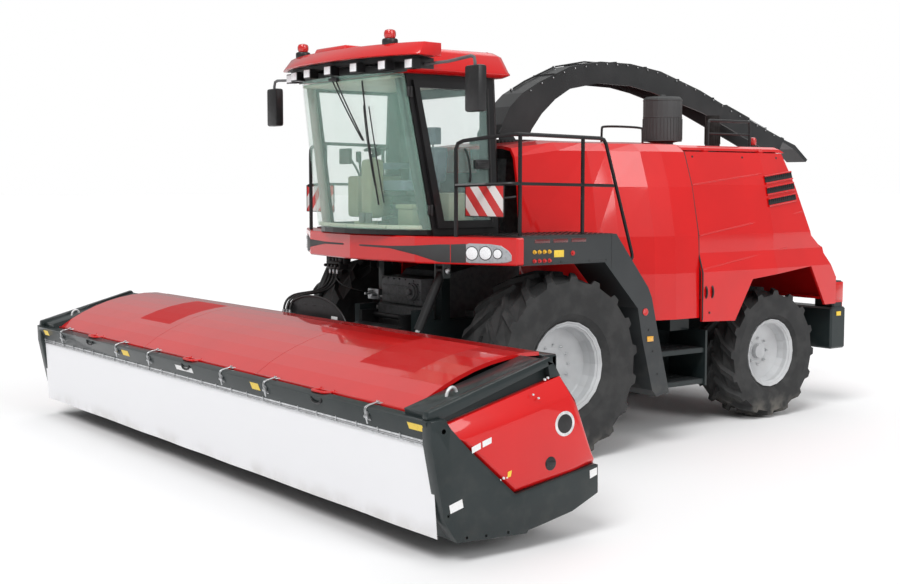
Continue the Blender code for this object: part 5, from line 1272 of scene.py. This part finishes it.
# Side consoles, their small parts and the warning plates
# Grey steel boxes over the front wheels. Their slots are closed by dark red
# covers, with filler caps and drain knobs in rows.
CONSOLE_X = 1.78
knob_yellow = printed("knob_yellow", (0.75, 0.42, 0.03, 1))
knob_red = printed("knob_red", (0.55, 0.02, 0.02, 1))
console_grey = sprayed("console_grey", (0.04, 0.044, 0.046, 1), (0.034, 0.038, 0.04, 1), 0.42, 0.25, dust=0.08)
coat_nodes(console_grey, "console_left", "console_right")
for word, side in SIDES:
    face = side * CONSOLE_X
    covers = []
    for low, high in ((-0.442, -0.252), (-0.216, -0.029), (0.008, 0.198)):
        covers.append(bar("slot_cover", (side * 1.776, low + 0.003, 2.093), (side * 1.7835, high - 0.003, 2.129),
            0.003))
    group(f"slot_covers_{word}", covers, dark_red_lens)
    for name, z, material in (("yellow_knobs", 2.012, knob_yellow), ("red_knobs", 1.93, knob_red)):
        knobs = []
        for y in (-0.444, -0.384, -0.324, -0.263):
            knobs.append(peg("knob_foot", "X", (face, side * 1.786), (y, z), 0.02, 0.002, 20))
            knobs.append(peg("knob_head", "X", (side * 1.784, side * 1.804), (y, z), 0.0135, 0.004, 16))
        group(f"{name}_{word}", knobs, material)
    plate_film = bar("console_film", (side * 1.7795, -0.204, 1.958), (side * 1.7825, -0.083, 2.023), 0.001)
    settle(plate_film, yellow_film)
    button = joined(f"console_button_{word}",
        [peg("button_ring", "X", (face, side * 1.788), (0.027, 1.99), 0.024, 0.002, 24),
        peg("button_cap", "X", (side * 1.786, side * 1.8), (0.027, 1.99), 0.015, 0.004, 20)])
    settle(button, knob_red)
    seams = [bar("console_seam", (side * 1.7795, 0.525, 1.83), (side * 1.7812, 0.529, 2.155), 0.0005),
        bar("console_seam", (side * 1.7795, -0.615, 1.905), (side * 1.7812, 0.43, 1.908), 0.0005),
        bar("console_seam", (side * 1.7795, -0.61, 2.145), (side * 1.7812, 0.58, 2.148), 0.0005)]
    for y in (-0.59, -0.12, 0.24, 0.46):
        seams.append(peg("console_bolt", "X", (face, side * 1.784), (y, 1.915), 0.009, 0.002, 6))
    for y, z in ((1.04, 1.2), (1.1, 0.98), (1.17, 0.75)):
        seams.append(peg("leg_bolt", "X", (face, side * 1.785), (y, z), 0.01, 0.002, 6))
    group(f"console_trim_{word}", seams, satin_black)
    reflector = peg("reflector", "X", (face, side * 1.788), (0.99, 1.38), 0.036, 0.004, 28, 0.002)
    settle(reflector, red_lens)
    amber = bar("side_marker", (face, 1.018, 1.083), (side * 1.788, 1.102, 1.135), 0.003)
    settle(amber, lensed(f"amber_lens_{word}", (0.85, 0.42, 0.04, 1), scale=150.0))
    tread = [bar("deck_tread", (side * 1.12, -0.6, 2.16), (side * 1.76, 0.56, 2.164), 0.001)]
    for row in range(9):
        for column in range(16):
            x, y = side * (1.16 + row * 0.07), -0.57 + column * 0.072
            tread.append(bar("tread_stud", (x - 0.016, y - 0.005, 2.163), (x + 0.016, y + 0.005, 2.1665), 0))
    group(f"deck_tread_{word}", tread, satin_black)

# Blank striped plates, on the front post of each guard rail
stripes, shader, place = new_material("striped_film")
x = place.part(0)
z = place.part(2)
slant = (x.math("ABSOLUTE", x) + z) * 3.9
phase = slant.math("FRACT", slant)
scuff = place.noise(40.0, 4.0)
band = phase.math("GREATER_THAN", phase, 0.5)
fill(place, shader, {
    "Base Color": band.mix((0.8, 0.78, 0.76, 1), (0.62, 0.03, 0.03, 1)),
    "Roughness": scuff * 0.15 + 0.3,
})
for word, side in SIDES:
    corners = [(side * x, -0.772, z) for x, z in ((1.172, 2.339), (1.736, 2.339), (1.736, 2.621), (1.172, 2.621))]
    settle(panel(f"warning_plate_{word}", corners, (0, 0.004, 0), 0.001), stripes)
    edges = ((1.165, 2.333, 1.743, 2.341), (1.165, 2.619, 1.743, 2.627), (1.165, 2.333, 1.173, 2.627),
        (1.735, 2.333, 1.743, 2.627))
    frame_bars = [bar("plate_edge", (side * x0, -0.776, z0), (side * x1, -0.766, z1), 0.002)
        for x0, z0, x1, z1 in edges]
    stay = ((1.24, -0.752, 2.5), (1.4, -0.752, 2.5), (1.66, -0.752, 2.5), (1.7, -0.6, 2.52))
    frame_bars.append(pipe("plate_stay", [(side * x, y, z) for x, y, z in stay], 0.009))
    group(f"plate_frame_{word}", frame_bars, satin_black)


# Body panels: slots, handles, seams, treads, lamps and reflectors
# Gloss red sheet steel. Dark louvred fields are the cooling slots, their blades
# over a black sheet that is painted shade inside each slot. Black handles stand
# at the hatches' front edge.
# black of the louvre blades and grille bars, also used for the sheets behind the blades that are painted shade in the
# slots
mesh_and_shade_black = metal("mesh_and_shade_black", (0.008, 0.008, 0.009, 1), 0.6, 0.0, 0.6, 160.0)
HATCH_SHEET = 0.0305


def hull_x(y, z):
    """Outer face of the engine bay's side."""
    stops = ((1.1, 1.4), (1.7, 1.4), (1.9, 1.335), (2.09, 1.33), (2.62, 1.22), (2.99, 1.1))
    for (z0, x0), (z1, x1) in zip(stops, stops[1:]):
        if z <= z1:
            break
    share = (z - z0) / (z1 - z0)
    return (x0 + (x1 - x0) * share) * (1 - 0.05 * max(0, (y - 3.4) / 0.8)) + HATCH_SHEET


def on_hull(side, places, proud):
    """Places on the engine bay's side from their Y and Z."""
    return [(side * (hull_x(y, z) + proud), y, z) for y, z in places]


for word, side in SIDES:
    body = f"engine_panel_{word}"
    louvres_and_slot_shade, fins, pulls, trim = [], [], [], []
    for number in range(3):
        low = 2.405 + number * 0.125
        corners = ((3.385, low - 0.01), (3.915, low + 0.046), (3.915, low + 0.132), (3.385, low + 0.074))
        # the slot's back: a black sheet laid on the hull, painted shade inside the slot
        louvres_and_slot_shade.append(panel("slot_shade_sheet", on_hull(side, corners, 0.01), (side * 0.003, 0, 0), 0))
        for step in range(14):
            y = 3.405 + step * 0.038
            z = low + 0.0315 + (y - 3.4) * 0.11
            louvres_and_slot_shade.append(bar("slot_blade", (side * (hull_x(y, z) + 0.01), y - 0.003, z - 0.034),
                (side * (hull_x(y, z) + 0.017), y + 0.003, z + 0.034), 0.001))
        for rise, name in ((0.0, "slot_sill"), (0.078, "slot_hood")):
            line = [(3.385, low - 0.012 + rise), (3.915, low + 0.046 + rise)]
            fins.append(pipe(name, on_hull(side, line, 0.011), 0.01, rounded=False, sides=3))
    group(f"louvres_{word}", louvres_and_slot_shade, mesh_and_shade_black, body)
    for line in (((2.205, 2.628), (2.9, 2.705), (3.36, 2.752)), ((2.205, 2.092), (3.0, 2.2), (4.02, 2.325)),
            ((2.205, 1.735), (2.9, 1.83), (3.66, 1.925))):
        fins.append(pipe("pressed_line", on_hull(side, line, -0.001), 0.0075, rounded=False, sides=3))
    group(f"hatch_pressings_{word}", fins, red_enamel, body)
    gap_line = on_hull(side, [(2.19, z) for z in (1.2, 1.7, 1.9, 2.09, 2.35, 2.62, 2.8, 2.98)], 0.001)
    settle(pipe(f"hatch_seal_{word}", gap_line, 0.0085, rounded=False), hose_rubber)
    for y in (2.245, 2.34):
        pulls.append(pipe("pull_handle",
            [(side * 1.396, y, 1.4205), (side * 1.4445, y, 1.4205), (side * 1.4445, y, 1.5595),
            (side * 1.396, y, 1.5595)], 0.0115))
    group(f"hatch_pulls_{word}", pulls, satin_black, body)
    for y, z in ((2.3, 1.27), (2.3, 2.93), (3.1, 2.93), (3.7, 2.93)):
        x = hull_x(y, z)
        trim.append(peg("panel_fastener", "X", (side * (x - 0.004), side * (x + 0.005)), (y, z), 0.013, 0.002, 20))
    group(f"panel_fasteners_{word}", trim, satin_black, body)
    treads = []
    for z in (0.53, 0.87):
        for row in range(12):
            y = 1.48 + row * 0.08
            treads.append(bar("step_bar", (side * 0.78, y - 0.006, z - 0.002), (side * 1.25, y + 0.006, z + 0.006),
                0.002))
        for x in (0.79, 0.94, 1.09, 1.24):
            treads.append(bar("step_bar", (side * (x - 0.004), 1.455, z - 0.002),
                (side * (x + 0.004), 2.405, z + 0.004), 0.001))
    group(f"step_treads_{word}", treads, cast_iron)
    pod = [bar("side_lamp", (side * 1.279, 4.625, 1.27), (side * 1.287, 4.755, 1.46), 0.006)]
    for z in (1.2, 1.33):
        pod.append(bar("tail_lamp", (side * 1.03, 4.779, z), (side * 1.25, 4.79, z + 0.11), 0.006))
    group(f"rear_lamps_{word}", pod, red_lens)
    rims = [bar("pod_rim", (side * 1.275, 4.605, 1.245), (side * 1.283, 4.775, 1.485), 0.003),
        bar("pod_rim", (side * 1.01, 4.775, 1.165), (side * 1.27, 4.784, 1.485), 0.003)]
    group(f"lamp_shells_{word}", rims, red_enamel)
    marker = bar("rear_marker", (side * 1.31, 4.62, 1.09), (side * 1.319, 4.7, 1.14), 0.003)
    settle(marker, yellow_film)
    seam = []
    for y in (0.62, 1.42):
        seam.append(peg("body_bolt", "X", (side * 1.045, side * 1.062), (y, 1.32), 0.01, 0.002, 6))
    group(f"body_bolts_{word}", seam, satin_black)

# rear grille, tow jaw and tow pin on the ballast box
rear = []
for row in range(9):
    z = 2.15 + row * 0.085
    rear.append(bar("grille_bar", (-0.72, 4.18 - (z - 2.05) * 0.306, z),
        (0.72, 4.195 - (z - 2.05) * 0.306, z + 0.03)))
group("rear_grille", rear, mesh_and_shade_black)
tow = [bar("tow_jaw", (-0.09, 4.78, 0.82), (0.09, 4.815, 1.0), 0.01),
    peg("tow_pin", "Z", (0.78, 1.06), (0, 4.807), 0.016, 0.003, 20)]
group("tow_hitch", tow, satin_black)


# Fittings on the engine hood: pre-cleaner, exhaust, rail and beacon
# The pre-cleaner is a moulded grey drum with a ring of intake slots, the
# exhaust a black pipe in a punched heat shield.
drum_grey = moulded("drum_grey", (0.055, 0.057, 0.058, 1), 0.5)
coat_nodes(drum_grey, "air_precleaner")
DRUM = (0.55, 2.46)
drum_parts = []
for x, y in around(DRUM, 0.2155, 36):
    drum_parts.append(pipe("drum_rib", [(x, y, 3.13), (x, y, 3.36)], 0.006, rounded=False, sides=2))
for z in (3.115, 3.375, 3.56):
    ring = [(x, y, z) for x, y in around(DRUM, 0.2145, 40)]
    drum_parts.append(pipe("drum_band", ring, 0.005, rounded=False, closed=True, sides=2))
drum_parts.append(stub("drum_knob", (*DRUM, 3.598), (*DRUM, 3.625), 0.035, 0.006, 28))
group("drum_fittings", drum_parts, drum_grey)
shield = []
EXHAUST = (0.62, 3.2)
for x, y in around(EXHAUST, 0.0865, 18):
    shield.append(pipe("shield_rib", [(x, y, 3.09), (x, y, 3.3)], 0.0045, rounded=False, sides=2))
shield.append(stub("exhaust_mouth", (*EXHAUST, 3.405), (*EXHAUST, 3.4165), 0.07, 0.002, 32, 0.008))
soot = metal("sooty_steel", (0.02, 0.019, 0.018, 1), 0.7, 0.4, 0.4)
group("heat_shield", shield, soot)
coat_nodes(soot, "exhaust_pipe")

rail = [pipe("service_rail", [(0.86, 2.86, 3.056), (0.86, 2.86, 3.31), (0.86, 2.875, 3.345), (0.86, 2.92, 3.3455),
    (0.86, 3.5, 3.3455), (0.86, 3.545, 3.345), (0.86, 3.56, 3.31), (0.86, 3.56, 3.056)], 0.0158)]
rail.append(pipe("service_rail_mid", [(0.86, 2.86, 3.2), (0.86, 3.56, 3.2)], 0.01, rounded=False))
rail.append(pipe("service_rail_far",
    [(-0.86, 2.86, 3.056), (-0.86, 2.86, 3.31), (-0.86, 2.875, 3.345), (-0.86, 3.545, 3.345), (-0.86, 3.56, 3.31),
    (-0.86, 3.56, 3.056)], 0.0145))
for y in (2.86, 3.56):
    rail.append(peg("rail_foot", "Z", (3.055, 3.066), (0.86, y), 0.032, 0.003, 20))
group("service_rails", rail, satin_black)
REAR_BEACON = (0.8, 3.68)
rear_beacon = [peg("rear_dome", "Z", (3.079, 3.174), REAR_BEACON, 0.0435, 0.022, 28)]
for x, y in around(REAR_BEACON, 0.0425, 12):
    rear_beacon.append(bar("dome_rib", (x - 0.0015, y - 0.0015, 3.085), (x + 0.0015, y + 0.0015, 3.15), 0.0005))
group("rear_beacon", rear_beacon, red_lens)
settle(peg("rear_beacon_foot", "Z", (3.0552, 3.081), REAR_BEACON, 0.0525, 0.004, 28), satin_black)
hatch = [bar("hood_seam", (-1.0, 2.8, 3.0545), (1.0, 2.806, 3.0562), 0.0005)]
for x in (-0.9, -0.3, 0.3, 0.9):
    hatch.append(peg("hood_bolt", "Z", (3.053, 3.06), (x, 2.25), 0.011, 0.002, 6))
group("hood_seams", hatch, satin_black)

# Spout: its paint, flange bolts, ram, hose and turning gear
# The chute is satin black, bolted along both edges. A slim ram works the
# flap, and a hose is clipped along the top.
spout_paint = sprayed("spout_paint", (0.024, 0.026, 0.027, 1), (0.036, 0.038, 0.039, 1), 0.45, 0.2, dust=0.1)
coat_nodes(spout_paint, "spout", "spout_flap", "spout_turret")
CROWN = ((0.75, 3.6), (0.99, 3.73), (1.42, 3.91), (1.87, 3.99), (2.33, 3.99), (2.81, 3.93), (3.48, 3.74),
    (4.01, 3.54), (4.95, 3.22))


def crown_at(y, drop=0.0):
    """Height of the chute's top line at this place along it."""
    for (y0, z0), (y1, z1) in zip(CROWN, CROWN[1:]):
        if y <= y1:
            break
    return z0 + (z1 - z0) * (y - y0) / (y1 - y0) - drop


bolts = []
for side in (-1, 1):
    for y in [0.85 + step * 0.158 for step in range(26)]:
        z = crown_at(y, 0.026)
        bolts.append(peg("flange_bolt", "X", (side * 0.18, side * 0.19), (y, z), 0.0085, 0.002, 6))
group("spout_bolts", bolts, zinc, "spout_boom")
ribs = []
for y in (1.2, 1.65, 2.1, 2.57, 3.1, 3.7, 4.3):
    ribs.append(bar("spout_rib", (-0.176, y - 0.016, crown_at(y, 0.012)), (0.176, y + 0.016, crown_at(y, -0.01))))
group("spout_ribs", ribs, spout_paint, "spout_boom")
flap_ram = [pipe("ram_body", [(0.1, 4.0, crown_at(4.0, -0.035)), (0.1, 4.42, crown_at(4.42, -0.035))], 0.02,
    rounded=False), bar("ram_lug", (0.08, 3.975, crown_at(4.0, 0.01)), (0.12, 4.015, crown_at(4.0, -0.05)))]
group("flap_ram", flap_ram, satin_black, "spout_boom")
flap_rod = [pipe("ram_rod", [(0.1, 4.4, crown_at(4.4, -0.035)), (0.1, 4.72, crown_at(4.72, -0.03))], 0.01,
    rounded=False), bar("rod_lug", (0.08, 4.7, crown_at(4.72, 0.01)), (0.12, 4.74, crown_at(4.72, -0.045)))]
group("flap_ram_rod", flap_rod, chrome, "spout_boom")
line = [(-0.1, y, crown_at(y, -0.016))
    for y in (0.8, 1.0, 1.2, 1.42, 1.65, 1.87, 2.1, 2.33, 2.57, 2.81, 3.1, 3.48, 3.75, 4.01, 4.3)]
line += [(-0.112, 4.55, crown_at(4.55, -0.016)), (-0.14, 4.78, crown_at(4.78, -0.016)),
    (-0.156, 4.93, crown_at(4.93, -0.014))]
spout_hose = settle(pipe("spout_hose", line, 0.009, rounded=False), hose_rubber, "spout_boom")
clips = [bar("hose_clip", (-0.118, y - 0.01, crown_at(y, 0.002)), (-0.082, y + 0.01, crown_at(y, -0.027)))
    for y in (0.82, 1.42, 2.1, 2.81, 3.48, 4.01, 4.58)]
group("hose_clips", clips, zinc, "spout_boom")
teeth = []
for x, y in around((0, 0.64), 0.362, 60):
    teeth.append(bar("ring_tooth", (x - 0.008, y - 0.008, 3.06), (x + 0.008, y + 0.008, 3.09), 0.002))
group("ring_teeth", teeth, cast_iron, "spout_turret")
